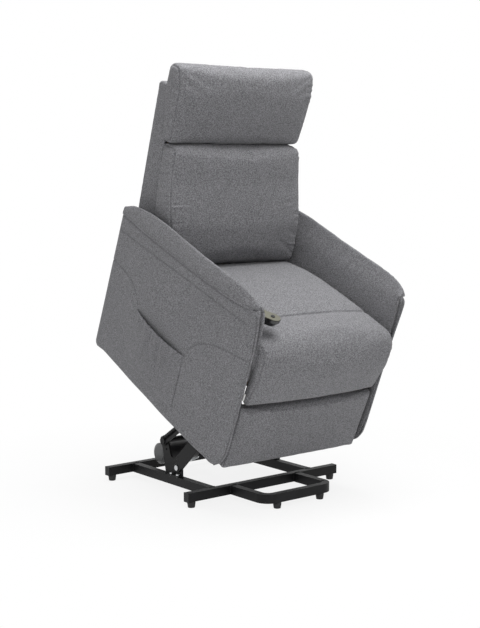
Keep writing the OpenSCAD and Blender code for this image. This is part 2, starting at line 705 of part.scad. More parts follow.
function roll(t) = 2 + arm_roll * pow(sin(90 * min(1, 1.6 * t + 0.01)), 0.7) * sqrt(1 - 0.99 * pow(t, 14));
pad_low = frame_low - 20;

// The inner pad: flat beside the seat, leaning out above it and rolling over the top to the seam
module arm_pad(side) color(fabric_grey) raised() mirror([side < 0 ? 1 : 0, 0, 0]) {
    rings = [for (t = arm_stations)
        let (top = seam_z(t), out = half_out + bulge(t, 1), ridge = top + roll(t), deep = seat_top - 40,
             lean = function (k) half_in + (out - half_in) * k,
             section = [[panel_in - soft_gap, pad_low], [panel_in - soft_gap, top + soft_gap], [lean(0.97), top + soft_gap],
                [lean(1.01), top + roll(t) * 0.3], [lean(0.99), ridge - roll(t) * 0.3], [lean(0.91), ridge],
                [lean(0.8), ridge - 1], [lean(0.62), deep + (ridge - deep) * 0.9], [lean(0.43), deep + (ridge - deep) * 0.72],
                [lean(0.2), deep + (ridge - deep) * 0.42], [half_in, deep], [half_in, pad_low]])
        [for (p = section) [p[0], arm_y(min(p[1], top), t) + (p[1] > top ? (p[1] - top) * 0.35 * pow(t, 6) : 0), p[1]]]];
    skin(rings, mean(rings[0]), mean(rings[len(rings) - 1]));
}

module left_arm_pad() arm_pad(1);
module right_arm_pad() arm_pad(-1);

module left_arm_piping() arm_piping(1);
module right_arm_piping() arm_piping(-1);

// The piping runs along the seam from the rear tip to the front corner and down the front edge
module arm_piping(side) color(fabric_grey) raised() mirror([side < 0 ? 1 : 0, 0, 0]) {
    r = piping_d / 2;
    along_seam = [for (t = [0 : 0.05 : 0.95]) [half_out + bulge(t, 1) + r + 0.7, arm_y(seam_z(t), t), seam_z(t)]];
    down_front = [for (h = [0.985, 0.95, 0.9, 0.8, 0.7, 0.6, 0.5, 0.4, 0.3, 0.2, 0.12, 0.06, 0.01])
        let (z = arm_low + (seam_z(1) - arm_low) * h) [max(half_out + bulge(1, h), panel_in + panel_edge) - r, arm_y(z, 1) - r - 2 * soft_gap, z]];
    piped(concat(along_seam, down_front), r);
}

block_bolts = [for (y = [-330, 10]) [y, frame_top - 14]];

// Wooden blocks hold the arms off the seat frame, and a bolt passes through each
module arm_blocks() color(timber) raised() both_sides() for (at = block_bolts) difference() {
    translate([side_board_out, at[0] - 45, at[1] - 46]) cube([half_in - side_board_out, 90, 58]);
    translate([(side_board_out + half_in) / 2, at[0], at[1]]) along_x(8.4, half_in);
}

module arm_bolts() color(zinc) raised() both_sides() for (at = block_bolts) translate([0, at[0], at[1]]) {
    translate([(side_board_in + half_in - 1) / 2, 0, 0]) along_x(8, half_in - 1 - side_board_in);
    translate([side_board_in - 3, 0, 0]) along_x(14, 6);
}

// Small white clips between the arm's front and the seat
module arm_clips() color("white") raised() both_sides()
    translate([half_in - 5.5, -478, 322]) cube([5.2, 14, 24]);

module control_box() color(plastic_black) raised() difference() {
    union() {
        translate([-110, frame_rear - board_t - 90, frame_low + 6]) cube([130, 80, 38]);
        translate([-70, frame_rear - board_t - 10, frame_low + 12]) cube([50, 10, 26]);
    }
    translate([-95, frame_rear - board_t - 92, frame_low + 15]) cube([30, 18, 20]);
}

// ---- side pocket, on the sitter's right arm

pocket_mid_y = -60;
pocket_top = 314;

// The pocket's front stands off the arm at its mouth and closes onto it at its sides and bottom
module side_pocket() color(fabric_grey) raised() mirror([1, 0, 0]) {
    cloth = 3;
    columns = [for (i = [0 : 16]) i / 16];
    rows = [for (j = [0 : 7]) j / 7];
    stand = function (u, v) (pocket_room + cloth) * pow(sin(180 * u), 0.35) * pow(v, 0.5);
    sag = function (u, v) -9 * sin(180 * u) * v;
    pleat = function (u, v) 1.6 * sin(360 * u * 6) * sin(180 * u) * v;
    at = function (u, v, off) let (
            y = pocket_mid_y + pocket_w * (0.5 - u) - 16 * (1 - v) * (u - 0.5),
            z = pocket_top - pocket_depth * (1 - v) + sag(u, v))
        [arm_face(y, z) + soft_gap + max(0, stand(u, v) + pleat(u, v)) + off, y, z];
    sheet([for (v = rows) [for (u = columns) at(u, v, 0)]], [for (v = rows) [for (u = columns) at(u, v, cloth)]]);
}

// ---- handset: its own frame has its nose along -Y and its top along +Z

handset_in = 46.3; // from the arm panel's inner face to the handset's middle

module on_handset() raised() translate([handset_in - half_in, -392, 578]) rotate([0, 0, 38]) children();

shell_t = 2;
grip_t = handset_t - 5;

module handset_outline(inset) {
    w = handset_w - 2 * inset;
    hull() {
        translate([0, -handset_len / 2 + handset_w / 2 + 4]) circle(d = w, $fn = 40);
        for (s = [-1, 1]) translate([s * (w / 2 - 8), handset_len / 2 - inset - 8]) circle(r = 8, $fn = 24);
    }
}

module handset_shell() color(plastic_black) on_handset() difference() {
    hull() {
        translate([0, 0, 4]) linear_extrude(0.1) handset_outline(0);
        translate([0, 0, -6]) linear_extrude(0.1) handset_outline(0.6);
        translate([0, 4, 4 - grip_t]) linear_extrude(0.1) handset_outline(9);
    }
    translate([0, 0, -10]) linear_extrude(20) handset_outline(4);
}

module handset_cover() color(cover_olive) on_handset() difference() {
    union() {
        translate([0, 0, 4.3]) linear_extrude(2.2) handset_outline(1.2);
        translate([0, 0, 0]) linear_extrude(4.4) difference() {
            handset_outline(4.3);
            handset_outline(6.3);
        }
    }
    for (y = button_y) translate([0, y, -2]) cylinder(d = button_d + 0.5, h = 12);
}

button_y = [-34, 4];

// A button's cap stands above the cover, and its flange is held below it
module handset_button(y) color(plastic_black) on_handset() translate([0, y, 0]) {
    translate([0, 0, 1.6]) cylinder(d = button_d, h = 7);
    translate([0, 0, -0.4]) cylinder(d = button_d + 4, h = 2.4);
}

module up_button() handset_button(button_y[0]);
module down_button() handset_button(button_y[1]);

// The holder is a cradle under the handset with an arm that screws to the padded arm's inner face
module handset_holder() color(plastic_black) on_handset() difference() {
    union() {
        translate([0, 24, 3 - grip_t]) cube([handset_w + 7, 52, 16], center = true);
        translate([-15, 30, 1 - grip_t]) cube([38, 26, 5], center = true);
    }
    hull() {
        translate([0, 0, 6]) linear_extrude(0.1) handset_outline(-0.5);
        translate([0, 0, -6]) linear_extrude(0.1) handset_outline(0.1);
        translate([0, 4, 3.6 - grip_t]) linear_extrude(0.1) handset_outline(8.5);
    }
}

// ---- back: drawn upright in its own frame, up from the recline hinge

upright_in = side_board_in;
hinge_pin_d = 10;

module hinge_plates() color(steel_black) raised() both_sides() difference() {
    plate(side_board_out, 5, rounded([[frame_rear - 110, frame_low + 20, 6], [frame_rear + 10, frame_low + 20, 10],
        [hinge_y + 18, hinge_z - 4, 14], [hinge_y + 4, hinge_z + 18, 14], [frame_rear - 110, frame_top, 6]]));
    translate([side_board_out, hinge_y, hinge_z]) along_x(hinge_pin_d + 2 * pin_gap, 20);
}

module hinge_pins() color(zinc) raised() both_sides() translate([0, hinge_y, hinge_z]) {
    translate([(upright_in + side_board_out + 6) / 2, 0, 0]) along_x(hinge_pin_d, side_board_out + 6 - upright_in);
    translate([side_board_out + 7.5, 0, 0]) along_x(18, 4);
}

upright_w = 24;
hinge_boss_d = 34;
upright_t = board_t - 1;

module back_uprights() color(timber) on_back() both_sides() difference() {
    union() {
        translate([upright_in, -upright_w / 2, 0]) cube([upright_t, upright_w, shell_top - 24]);
        translate([upright_in + upright_t / 2, 0, 0]) along_x(hinge_boss_d, upright_t);
    }
    along_x(hinge_pin_d + 2 * pin_gap, 600);
}

module back_cross_boards() color(timber) on_back()
    for (z = [60, 300, shell_top - 80]) translate([-upright_in, -9, z]) cube([2 * upright_in, 18, 50]);

shell_rear = 57.5;
shell_wall = 8;
// The front edge of the shell's sides at heights above the hinge
shell_seam = [[34, -40], [90, -72], [188, -62], [300, -46], [440, -30], [shell_top, -9]];

// The rear shell: a shallow tray behind the frame, its sides reaching forward to the cushions
module back_shell() color(fabric_grey) on_back() {
    low = shell_seam[0][0];
    rows = [low, low + 8, 90, 140, 188, 250, 300, 370, 440, shell_top - 97, shell_top - 40, shell_top - 22,
        shell_top - 20, shell_top - 8, shell_top];
    at = function (z, wall) let (
            w = shell_half_w - 4 * pow(z / shell_top, 2) - wall,
            seam = lookup(z, shell_seam),
            round = 12 * pow(max(0, (z - shell_top + 16) / 16), 2) + 8 * pow(max(0, (low + 12 - z) / 12), 2),
            rear = wall == 0 ? shell_rear - round : z > shell_top - 21 ? seam + 2 : shell_rear - 2 * wall,
            bend = min(12, (rear - seam) / 2))
        [for (s = [-1, 1]) for (c = s < 0 ? [0 : 5] : [4 : -1 : 0])
            let (x = [w - round / 3, w - round / 3, w - 3, w - 12, w / 2, 0][c],
                 y = [seam, (seam + rear - bend) / 2, rear - bend, rear - bend / 12, rear, rear + bend / 6][c])
            [s * x, y, z]];
    sheet([for (z = rows) at(z, shell_wall)], [for (z = rows) at(z, 0)]);
}

cushion_low = 50;
cushion_top = head_low - 6;

// The rear of both cushions follows the front edge of the shell's sides
function on_seam(z) = [lookup(z, shell_seam) - soft_gap, z];

cushion_edge = 17;
cushion_outline = rounded([
    each [for (z = [cushion_low, 90, 140, 188, 250, 300, 370]) [each on_seam(z), z == cushion_low ? cushion_edge + 1 : 0]],
    [each on_seam(cushion_top), cushion_edge + 1], [-112, cushion_top, 28], [-132, 330, 120], [-172, 190, 90],
    [-186, cushion_low, 24]], 4);

module back_cushion() color(fabric_grey) on_back()
    stuffed(cushion_outline, function (p) half_in - 17 + 8 * sin(180 * share((p[1] - cushion_low) / 380)), cushion_edge,
        function (p, n) 18 * share(n * [-1, 0.1]) * share((p[1] - 40) / 60), [-90, 240]);

head_edge = 18;
head_outline = rounded([
    [each on_seam(head_low), head_edge + 1], each [for (z = [480, 520, 570]) [each on_seam(z), 0]],
    [lookup(shell_top, shell_seam) - 1, shell_top - 4, 0], [-20, head_top - 24, 0], [-28, head_top, head_edge + 1],
    [-88, head_top, 34], [-103, 620, 60], [-98, 530, 60], [-86, head_low, 22]], 4);

module headrest() color(fabric_grey) on_back()
    stuffed(head_outline, function (p) half_in - 17 + 14 * (p[1] - head_low) / (head_top - head_low), head_edge,
        function (p, n) 17 * share(n * [-1, 0.3]), [-50, 570]);

// ---- leg rest

module leg_bars() color(steel_black) raised() both_sides() difference() {
    translate([bar_in, 0, 0]) rotate([90, 0, 90]) linear_extrude(leg_bar_t) bar_2d(leg_pivot, leg_knee, leg_bar_w);
    for (at = [leg_pivot, leg_knee]) translate([bar_in, at[0], at[1]]) along_x(pin_d + 2 * pin_gap, 20);
}

module leg_links() color(steel_black) raised() both_sides() difference() {
    translate([leg_link_in, 0, 0]) rotate([90, 0, 90]) linear_extrude(leg_bar_t) {
        bar_2d(leg_knee, leg_panel_pivot, leg_bar_w - 2);
        for (at = [leg_knee, leg_panel_pivot]) translate(at) circle(d = leg_bar_w);
    }
    for (at = [leg_knee, leg_panel_pivot]) translate([leg_link_in, at[0], at[1]]) along_x(pin_d + 2 * pin_gap, 20);
}

// One rod through both knees ties the bars together and turns with them
module knee_rod() color(zinc) raised() translate([0, leg_knee[0], leg_knee[1]]) {
    along_x(pin_d, 2 * (leg_link_in + leg_bar_t + 1));
    for (s = [-1, 1]) {
        translate([s * (bar_in - 2.5), 0, 0]) along_x(pin_d + 7, 4);
        translate([s * (leg_link_in + leg_bar_t + 2), 0, 0]) along_x(pin_d + 6, 2.4);
    }
}

// Brackets on the panel's back, each with its own pivot stud
module leg_brackets() color(steel_black) raised() both_sides() {
    back = leg_pad_back + leg_board_t;
    plate(leg_bracket_in, leg_bar_t, rounded([[back, leg_panel_pivot[1] - 50, 0],
        [leg_panel_pivot[0] + 14, leg_panel_pivot[1] - 14, 8], [leg_panel_pivot[0] + 14, leg_panel_pivot[1] + 14, 8],
        [back, leg_panel_pivot[1] + 18, 0]]));
    translate([leg_bracket_in + leg_bar_t, back, leg_panel_pivot[1] - 50]) cube([16, leg_bar_t, 68]);
    translate([(leg_link_in - 1 + leg_bracket_in) / 2, leg_panel_pivot[0], leg_panel_pivot[1]])
        along_x(pin_d, leg_bracket_in - leg_link_in + 1);
    translate([leg_link_in - 2.2, leg_panel_pivot[0], leg_panel_pivot[1]]) along_x(pin_d + 6, 2.4);
}

module leg_board() color(timber) raised()
    translate([-half_in + 20, leg_pad_back, leg_panel_low + 10])
        cube([2 * (half_in - 20), leg_board_t, leg_panel_h - 28]);

leg_edge = 8;
leg_outline = rounded([
    [leg_pad_back - soft_gap, leg_panel_low, leg_edge + 1], [leg_pad_back - soft_gap, leg_panel_low + leg_panel_h - 8, leg_edge + 1],
    [-leg_front + 6, leg_panel_low + leg_panel_h, 16], [-leg_front, leg_panel_low + 60, 40],
    [-leg_front - 2, leg_panel_low, 14]], 5);

module leg_pad() color(fabric_grey) raised()
    stuffed(leg_outline, function (p) half_in - 2.3, leg_edge, function (p, n) 8 * share(-n[0]), [-leg_front + leg_pad_t / 2, leg_panel_low + 100]);

rear_crossbar();
front_crossbar();
left_rail();
right_rail();
front_loop();
crossbar_caps();
base_feet();
foot_screws();
left_lift_bracket();
right_lift_bracket();
bracket_bolts();
base_pivot_pins();
motor_mount();
tail_pin();
left_lift_link();
right_lift_link();
torque_tube();
drive_cranks();
left_front_link();
right_front_link();
motor_housing();
motor_cap();
actuator_tube();
actuator_rod();
left_side_plate();
right_side_plate();
carriage_pins();
seat_side_boards();
seat_cross_boards();
seat_springs();
seat_cushion();
left_arm_panel();
right_arm_panel();
left_arm_pad();
right_arm_pad();
left_arm_piping();
right_arm_piping();
side_pocket();
arm_blocks();
arm_bolts();
arm_clips();
control_box();
handset_holder();
handset_shell();
handset_cover();
up_button();
down_button();
hinge_plates();
hinge_pins();
back_uprights();
back_cross_boards();
back_shell();
back_cushion();
headrest();
leg_bars();
leg_links();
knee_rod();
leg_brackets();
leg_board();
leg_pad();
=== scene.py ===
import json
from math import acos, cos, exp, pi, radians, sin, sqrt, tan

import bmesh
import bpy
import numpy as np
from mathutils import Matrix, Vector
from mathutils.bvhtree import BVHTree
from numpy.linalg import norm


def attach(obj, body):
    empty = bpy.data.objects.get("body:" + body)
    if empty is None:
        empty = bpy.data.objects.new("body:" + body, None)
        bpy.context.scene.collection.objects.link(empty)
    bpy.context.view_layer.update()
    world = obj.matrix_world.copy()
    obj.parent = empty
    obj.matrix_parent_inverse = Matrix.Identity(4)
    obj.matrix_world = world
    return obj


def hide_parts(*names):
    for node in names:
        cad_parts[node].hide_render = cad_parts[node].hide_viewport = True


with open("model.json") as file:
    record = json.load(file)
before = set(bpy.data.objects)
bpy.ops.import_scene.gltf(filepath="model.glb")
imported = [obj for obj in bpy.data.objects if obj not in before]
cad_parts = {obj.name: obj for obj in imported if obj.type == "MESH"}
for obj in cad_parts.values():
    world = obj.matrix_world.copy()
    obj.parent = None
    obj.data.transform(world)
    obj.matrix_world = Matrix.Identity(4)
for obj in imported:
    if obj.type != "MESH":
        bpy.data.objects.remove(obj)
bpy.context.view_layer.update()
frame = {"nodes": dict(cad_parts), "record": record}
scene = bpy.context.scene
print("frame:", len(frame["nodes"]), "nodes")

# camera and lamps, in metres and watts
view = {"place": (-2.742, -3.3829, 1.1064), "turn": 38.8, "down": 6.7, "lens": 74.67, "reach": 60}
camera = bpy.data.objects.new("camera", bpy.data.cameras.new("camera"))
scene.collection.objects.link(camera)
camera.location = view["place"]
camera.rotation_euler = (radians(90 - view["down"]), 0, radians(-view["turn"]))
camera.data.lens = view["lens"]
camera.data.clip_end = view["reach"]
scene.camera = camera
scene.view_settings.view_transform = "Standard"

lamps = {
    "leftBox": {"place": (-3.4, 0.9, 1.7), "size": 2.4, "power": 27},
    "frontBox": {"place": (-1.4, -3.2, 3.0), "size": 2.2, "power": 45},
    "topBox": {"place": (0.3, -0.5, 3.6), "size": 2.6, "power": 132},
    "lowBox": {"place": (-2.6, -1.6, 0.5), "size": 1.6, "power": 2},
}
lampAim = Vector((0, 0, 0.6))
for lampName, lamp in lamps.items():
    light = bpy.data.lights.new(lampName, "AREA")
    light.size, light.energy = lamp["size"], lamp["power"]
    box = bpy.data.objects.new(lampName, light)
    box.location = lamp["place"]
    box.rotation_euler = (lampAim - box.location).to_track_quat("-Z", "Y").to_euler()
    scene.collection.objects.link(box)


class Wire:
    # one socket of a material, or the bare node tree to start from
    def __init__(self, tree, socket=None):
        self.tree, self.socket = tree, socket

    def node(self, kind, settings, inputs, output=0):
        made = self.tree.nodes.new("ShaderNode" + kind)
        for name, value in settings.items():
            if name == "stops":
                ramp = made.color_ramp
                ends = (ramp.elements[0], value[0]), (ramp.elements[1], value[-1])
                for element, (position, colour) in ends:
                    element.position, element.color = position, colour
                for position, colour in value[1:-1]:
                    ramp.elements.new(position).color = colour
            else:
                setattr(made, name, value)
        for name, value in inputs.items():
            if isinstance(value, Wire):
                self.tree.links.new(value.socket, made.inputs[name])
            else:
                made.inputs[name].default_value = value
        return Wire(self.tree, made.outputs[output] if made.outputs else None)

    def maths(self, operation, first, second):
        return self.node("Math", {"operation": operation}, {0: first, 1: second})

    def __add__(self, other): return self.maths("ADD", self, other)
    def __mul__(self, other): return self.maths("MULTIPLY", self, other)


def finish(name, shade):
    material = bpy.data.materials.new(name)
    material.use_nodes = True
    material.node_tree.nodes.clear()
    start = Wire(material.node_tree)
    start.node("OutputMaterial", {}, {"Surface": shade(start)})
    return material


def surface(start, inputs):
    return start.node("BsdfPrincipled", {}, inputs)


def blended(amount, first, second):
    return amount.node("Mix", {"data_type": "RGBA"}, {0: amount, 6: first, 7: second}, 2)


def spread(value, low, high):
    return value.node("MapRange", {}, {"Value": value, "From Min": low, "From Max": high})


def speckle(start, scale, detail=2.0):
    # noise in the piece's own space; scale is the count a metre, for all axes or for each
    scale = scale if isinstance(scale, tuple) else (scale,) * 3
    here = start.node("TexCoord", {}, {}, "Object")
    stretched = start.node("VectorMath", {"operation": "MULTIPLY"}, {0: here, 1: scale})
    return start.node("TexNoise", {}, {
        "Vector": stretched, "Scale": 1.0, "Detail": detail, "Roughness": 0.6}, 0)


def bumped(height, strength, distance, under=None):
    inputs = {"Height": height, "Strength": strength, "Distance": distance}
    if under:
        inputs["Normal"] = under
    return height.node("Bump", {}, inputs)


# a range is where noise turns from dark to light, and a bump is a strength and a height in metres
# the seam colour and seamShade paint shade into the cloth in the valleys along its seams
cloth = {"dark": (0.062, 0.063, 0.068, 1), "light": (0.335, 0.333, 0.348, 1),
         "yarns": 1000, "along": 190, "slubs": 300, "patches": 7, "folds": 38,
         "seamShadowColour": (0.03, 0.03, 0.033, 1), "seamShade": 0.32,
         "heatherRange": (0.43, 0.57), "slubRange": (0.4, 0.6), "shares": (0.42, 0.5, 0.08),
         "rough": 0.93, "sheen": 0.18, "sheenRough": 0.45, "shine": 0.25,
         "foldBump": (0.22, 0.004), "threadBump": (0.5, 0.0005), "slubHeight": 0.6}


def clothShade(start):
    fine, coarse = cloth["yarns"], cloth["along"]
    sizes = (fine, fine, coarse), (fine, coarse, fine), (coarse, fine, fine)
    yarns = [speckle(start, size) for size in sizes]
    heather = spread((yarns[0] + yarns[1] + yarns[2]) * (1 / 3), *cloth["heatherRange"])
    slub = spread(speckle(start, cloth["slubs"]), *cloth["slubRange"])
    patch = speckle(start, cloth["patches"])
    # the seam attribute darkens the cloth towards the seam colour: painted shade in the seams' valleys
    seam = start.node("Attribute", {"attribute_name": "seam"}, {}, "Fac")
    heatherShare, slubShare, patchShare = cloth["shares"]
    tone = heather * heatherShare + slub * slubShare + patch * patchShare
    colour = blended(tone, cloth["dark"], cloth["light"])
    folds = bumped(speckle(start, cloth["folds"]), *cloth["foldBump"])
    threads = bumped(heather + slub * cloth["slubHeight"], *cloth["threadBump"], folds)
    return surface(start, {
        "Base Color": blended(seam * cloth["seamShade"], colour, cloth["seamShadowColour"]),
        "Roughness": cloth["rough"], "Specular IOR Level": cloth["shine"], "Sheen Weight": cloth["sheen"],
        "Sheen Roughness": cloth["sheenRough"], "Normal": threads})


steel = {"dark": (0.004, 0.004, 0.0044, 1), "light": (0.010, 0.010, 0.011, 1), "rough": 0.41,
         "roughSpread": 0.16, "shine": 0.2, "smears": 30, "smearRange": (0.35, 0.7), "peel": 900,
         "peelBump": (0.12, 0.0003)}


def steelShade(start):
    peel = speckle(start, steel["peel"], 1.0)
    smear = speckle(start, steel["smears"], 3.0)
    return surface(start, {
        "Base Color": blended(spread(smear, *steel["smearRange"]), steel["dark"], steel["light"]),
        "Roughness": smear * steel["roughSpread"] + steel["rough"], "Specular IOR Level": steel["shine"],
        "Normal": bumped(peel, *steel["peelBump"])})


zinc = {"dark": (0.42, 0.43, 0.44, 1), "light": (0.66, 0.67, 0.68, 1), "rough": 0.22, "roughSpread": 0.25,
        "spangles": 260, "turned": (1500, 60, 60), "turnedBump": (0.08, 0.0003)}


def zincShade(start):
    spangle = speckle(start, zinc["spangles"])
    turned = speckle(start, zinc["turned"], 1.0)
    return surface(start, {
        "Base Color": blended(spangle, zinc["dark"], zinc["light"]), "Metallic": 1.0,
        "Roughness": spangle * zinc["roughSpread"] + zinc["rough"],
        "Normal": bumped(turned, *zinc["turnedBump"])})


moulded = {"pores": 1300, "poreHeight": 0.0002, "clouds": 24, "deep": 0.82, "high": 1.12, "roughSpread": 0.12,
           "coatRough": 0.08}


def mouldedShade(colour, rough, texture=0.2, coat=0.0, shine=0.5):
    def shade(start):
        pores = speckle(start, moulded["pores"])
        cloud = speckle(start, moulded["clouds"])
        deep, high = (tuple(min(1, moulded[end] * c) for c in colour) + (1,) for end in ("deep", "high"))
        return surface(start, {
            "Base Color": blended(cloud, deep, high),
            "Roughness": pores * moulded["roughSpread"] + (rough - moulded["roughSpread"] / 2),
            "Coat Weight": coat, "Coat Roughness": moulded["coatRough"], "Specular IOR Level": shine,
            "Normal": bumped(pores, texture, moulded["poreHeight"])})
    return shade


timber = {
    "stops": [(0.3, (0.30, 0.19, 0.10, 1)), (0.5, (0.47, 0.33, 0.19, 1)), (0.72, (0.60, 0.45, 0.28, 1))],
    "rings": (6, 90, 90), "rough": 0.55, "roughSpread": 0.2, "grainBump": (0.2, 0.0004),
    "pores": (60, 1100, 1100), "poreColour": (0.22, 0.13, 0.07, 1), "poreRange": (0.55, 0.75),
    "poreShare": 0.4}


def timberShade(start):
    rings = speckle(start, timber["rings"], 3.0)
    pores = speckle(start, timber["pores"])
    colour = start.node("ValToRGB", {"stops": timber["stops"]}, {"Fac": rings})
    marked = spread(pores, *timber["poreRange"]) * timber["poreShare"]
    return surface(start, {
        "Base Color": blended(marked, colour, timber["poreColour"]),
        "Roughness": rings * timber["roughSpread"] + timber["rough"],
        "Normal": bumped(pores + rings, *timber["grainBump"])})


sewing = {"dark": (0.07, 0.07, 0.075, 1), "light": (0.22, 0.22, 0.23, 1), "twist": 2200, "rough": 0.8,
          "twistBump": (0.4, 0.0002)}


def threadShade(start):
    twist = speckle(start, sewing["twist"], 1.0)
    return surface(start, {
        "Base Color": blended(twist, sewing["dark"], sewing["light"]), "Roughness": sewing["rough"],
        "Normal": bumped(twist, *sewing["twistBump"])})


finishes = {
    "cloth": finish("heatheredCloth", clothShade),
    "thread": finish("sewingThread", threadShade),
    "black_steel": finish("satinBlackSteel", steelShade),
    "zinc_steel": finish("zincSteel", zincShade),
    "black_plastic": finish("blackPlastic", mouldedShade((0.013, 0.013, 0.0145), 0.48, shine=0.25)),
    "gloss_black_plastic": finish("glossBlackPlastic", mouldedShade((0.012, 0.012, 0.013), 0.2, 0.04, 0.5)),
    "grey_plastic": finish("greyPlastic", mouldedShade((0.12, 0.122, 0.125), 0.42)),
    "white_plastic": finish("whitePlastic", mouldedShade((0.80, 0.80, 0.78), 0.4, 0.08)),
    "olive_plastic": finish("olivePlastic", mouldedShade((0.105, 0.102, 0.068), 0.38, 0.1)),
    "black_rubber": finish("blackRubber", mouldedShade((0.018, 0.018, 0.018), 0.75, 0.35)),
    "timber": finish("beechTimber", timberShade),
}

# the floor keeps the chair's shadow near it, and is plain further out
studio = {"floorHalf": 14.0, "floorDown": 0.0003, "floorColour": (0.9, 0.9, 0.9, 1), "white": (1, 1, 1, 1),
          "plainFrom": 0.45, "plainTo": 1.3, "leastPlain": 0.86, "skyColour": (0.12, 0.12, 0.1224, 1)}


def seenStraight(start):
    # 1 for what the camera sees, also in a reflection or through something clear
    rays = [start.node("LightPath", {}, {}, name)
            for name in ("Is Camera Ray", "Is Glossy Ray", "Is Transmission Ray")]
    settings = {"operation": "ADD", "use_clamp": True}
    return start.node("Math", settings, {0: rays[0], 1: rays[1] + rays[2]})


def floorShade(start):
    dull = start.node("BsdfDiffuse", {}, {"Color": studio["floorColour"]})
    plain = start.node("Emission", {}, {"Color": studio["white"], "Strength": 1.0})
    here = start.node("TexCoord", {}, {}, "Object")
    away = start.node("VectorMath", {"operation": "LENGTH"}, {0: here}, 1)
    plainness = start.node("MapRange", {}, {
        "Value": away, "From Min": studio["plainFrom"], "From Max": studio["plainTo"],
        "To Min": studio["leastPlain"], "To Max": 1.0})
    return start.node("MixShader", {}, {0: seenStraight(start) * plainness, 1: dull, 2: plain})


floor = bpy.data.objects.new("floor", bpy.data.meshes.new("floor"))
floorCorners = [(x * studio["floorHalf"], y * studio["floorHalf"], -studio["floorDown"])
                for x, y in ((-1, -1), (1, -1), (1, 1), (-1, 1))]
floor.data.from_pydata(floorCorners, [], [(0, 1, 2, 3)])
floor.data.materials.append(finish("paleFloor", floorShade))
scene.collection.objects.link(floor)

world = bpy.data.worlds.new("studio")
scene.world = world
world.use_nodes = True
world.node_tree.nodes.clear()
sky = Wire(world.node_tree)
skyColour = blended(seenStraight(sky), studio["skyColour"], studio["white"])
backdrop = sky.node("Background", {}, {"Color": skyColour, "Strength": 1.0})
sky.node("OutputWorld", {}, {"Surface": backdrop})
print("camera, floor, lamps and finishes made")

# where the seated chair and its back stand when it is lifted and tipped, in mm and degrees
stance = {"baseBack": 133, "liftPivot": (45, 159), "linkLength": 325, "linkUp": 147, "linkDown": 177,
          "tilt": 26.4, "hinge": (225, 400), "lean": 9.6}


def linkEnd(angle):
    turns = cos(radians(angle)), sin(radians(angle))
    return [pivot + stance["linkLength"] * turn for pivot, turn in zip(stance["liftPivot"], turns)]


def shifted(y, z):
    return Matrix.Translation((0, y / 1000, z / 1000))


def tipped(angle):
    return Matrix.Rotation(radians(angle), 4, "X")


linkUp, linkDown = linkEnd(stance["linkUp"]), linkEnd(stance["linkDown"])
basePlace = shifted(stance["baseBack"], 0)
seatPlace = basePlace @ shifted(*linkUp) @ tipped(stance["tilt"]) @ shifted(-linkDown[0], -linkDown[1])
backPlace = seatPlace @ shifted(*stance["hinge"]) @ tipped(-stance["lean"])
onSeat, onBack = (seatPlace, "carriage"), (backPlace, "backrest")


def newPiece(name, points, faces):
    mesh = bpy.data.meshes.new(name)
    mesh.from_pydata([tuple(p) for p in points], [], [tuple(f) for f in faces])
    mesh.validate()
    mesh.update()
    piece = bpy.data.objects.new(name, mesh)
    scene.collection.objects.link(piece)
    return piece


def vectorsOf(items, key):
    values = np.empty(len(items) * 3)
    items.foreach_get(key, values)
    return values.reshape(-1, 3)


def pointsOf(piece):
    return vectorsOf(piece.data.vertices, "co")


def normalsOf(piece):
    return vectorsOf(piece.data.vertex_normals, "vector")


def setPoints(piece, points):
    piece.data.vertices.foreach_set("co", np.asarray(points, float).ravel())
    piece.data.update()


def shapedNow(piece):
    return piece.evaluated_get(bpy.context.evaluated_depsgraph_get())


def applied(piece):
    # the piece keeps what its modifiers make of it
    shaped = bpy.data.meshes.new_from_object(shapedNow(piece))
    piece.modifiers.clear()
    old, piece.data = piece.data, shaped
    bpy.data.meshes.remove(old)
    return piece


def remeshed(piece, voxel):
    grid = piece.modifiers.new("voxels", "REMESH")
    grid.mode, grid.voxel_size = "VOXEL", voxel / 1000
    return applied(piece)


def smoothed(piece, rounds):
    soft = piece.modifiers.new("soft", "SMOOTH")
    soft.iterations, soft.factor = rounds, 0.5
    return applied(piece)


def subdivided(piece):
    finer = piece.modifiers.new("finer", "SUBSURF")
    finer.levels = finer.render_levels = 1
    return applied(piece)


def reworked(piece, change):
    work = bmesh.new()
    work.from_mesh(piece.data)
    change(work)
    work.to_mesh(piece.data)
    work.free()
    return piece


def splitWide(work, method="BEAUTY"):
    # faces with more than four corners become triangles
    wide = [face for face in work.faces if len(face.verts) > 4]
    bmesh.ops.triangulate(work, faces=wide, ngon_method=method)


def outward(piece):
    return reworked(piece, lambda work: bmesh.ops.recalc_face_normals(work, faces=work.faces))


def dressed(piece, place, body, nodes=(), slot="grey_fabric", material="cloth"):
    mesh = piece.data
    mesh.transform(place)
    mesh.update()
    mesh.materials.clear()
    mesh.materials.append(finishes[material])
    mesh.polygons.foreach_set("use_smooth", np.ones(len(mesh.polygons), bool))
    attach(piece, body)
    if nodes:
        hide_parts(*nodes)


def gridFaces(rows, columns, wraps=False, first=0):
    # faces between rows of points; a row that wraps goes back to its own start
    pairs = [(i, (i + 1) % columns) for i in range(columns if wraps else columns - 1)]
    starts = [(first + j * columns, first + (j + 1) * columns) for j in range(rows - 1)]
    return [(low + a, low + b, high + b, high + a) for low, high in starts for a, b in pairs]


def ringSkin(name, rings):
    # a closed skin over rings of points, whose ends are filled
    count, size = rings.shape[:2]
    faces = gridFaces(count, size, True)
    faces += [tuple(range(size)), tuple(range(count * size - 1, (count - 1) * size - 1, -1))]
    piece = newPiece(name, rings.reshape(-1, 3), faces)
    return outward(reworked(piece, lambda work: splitWide(work, "EAR_CLIP")))


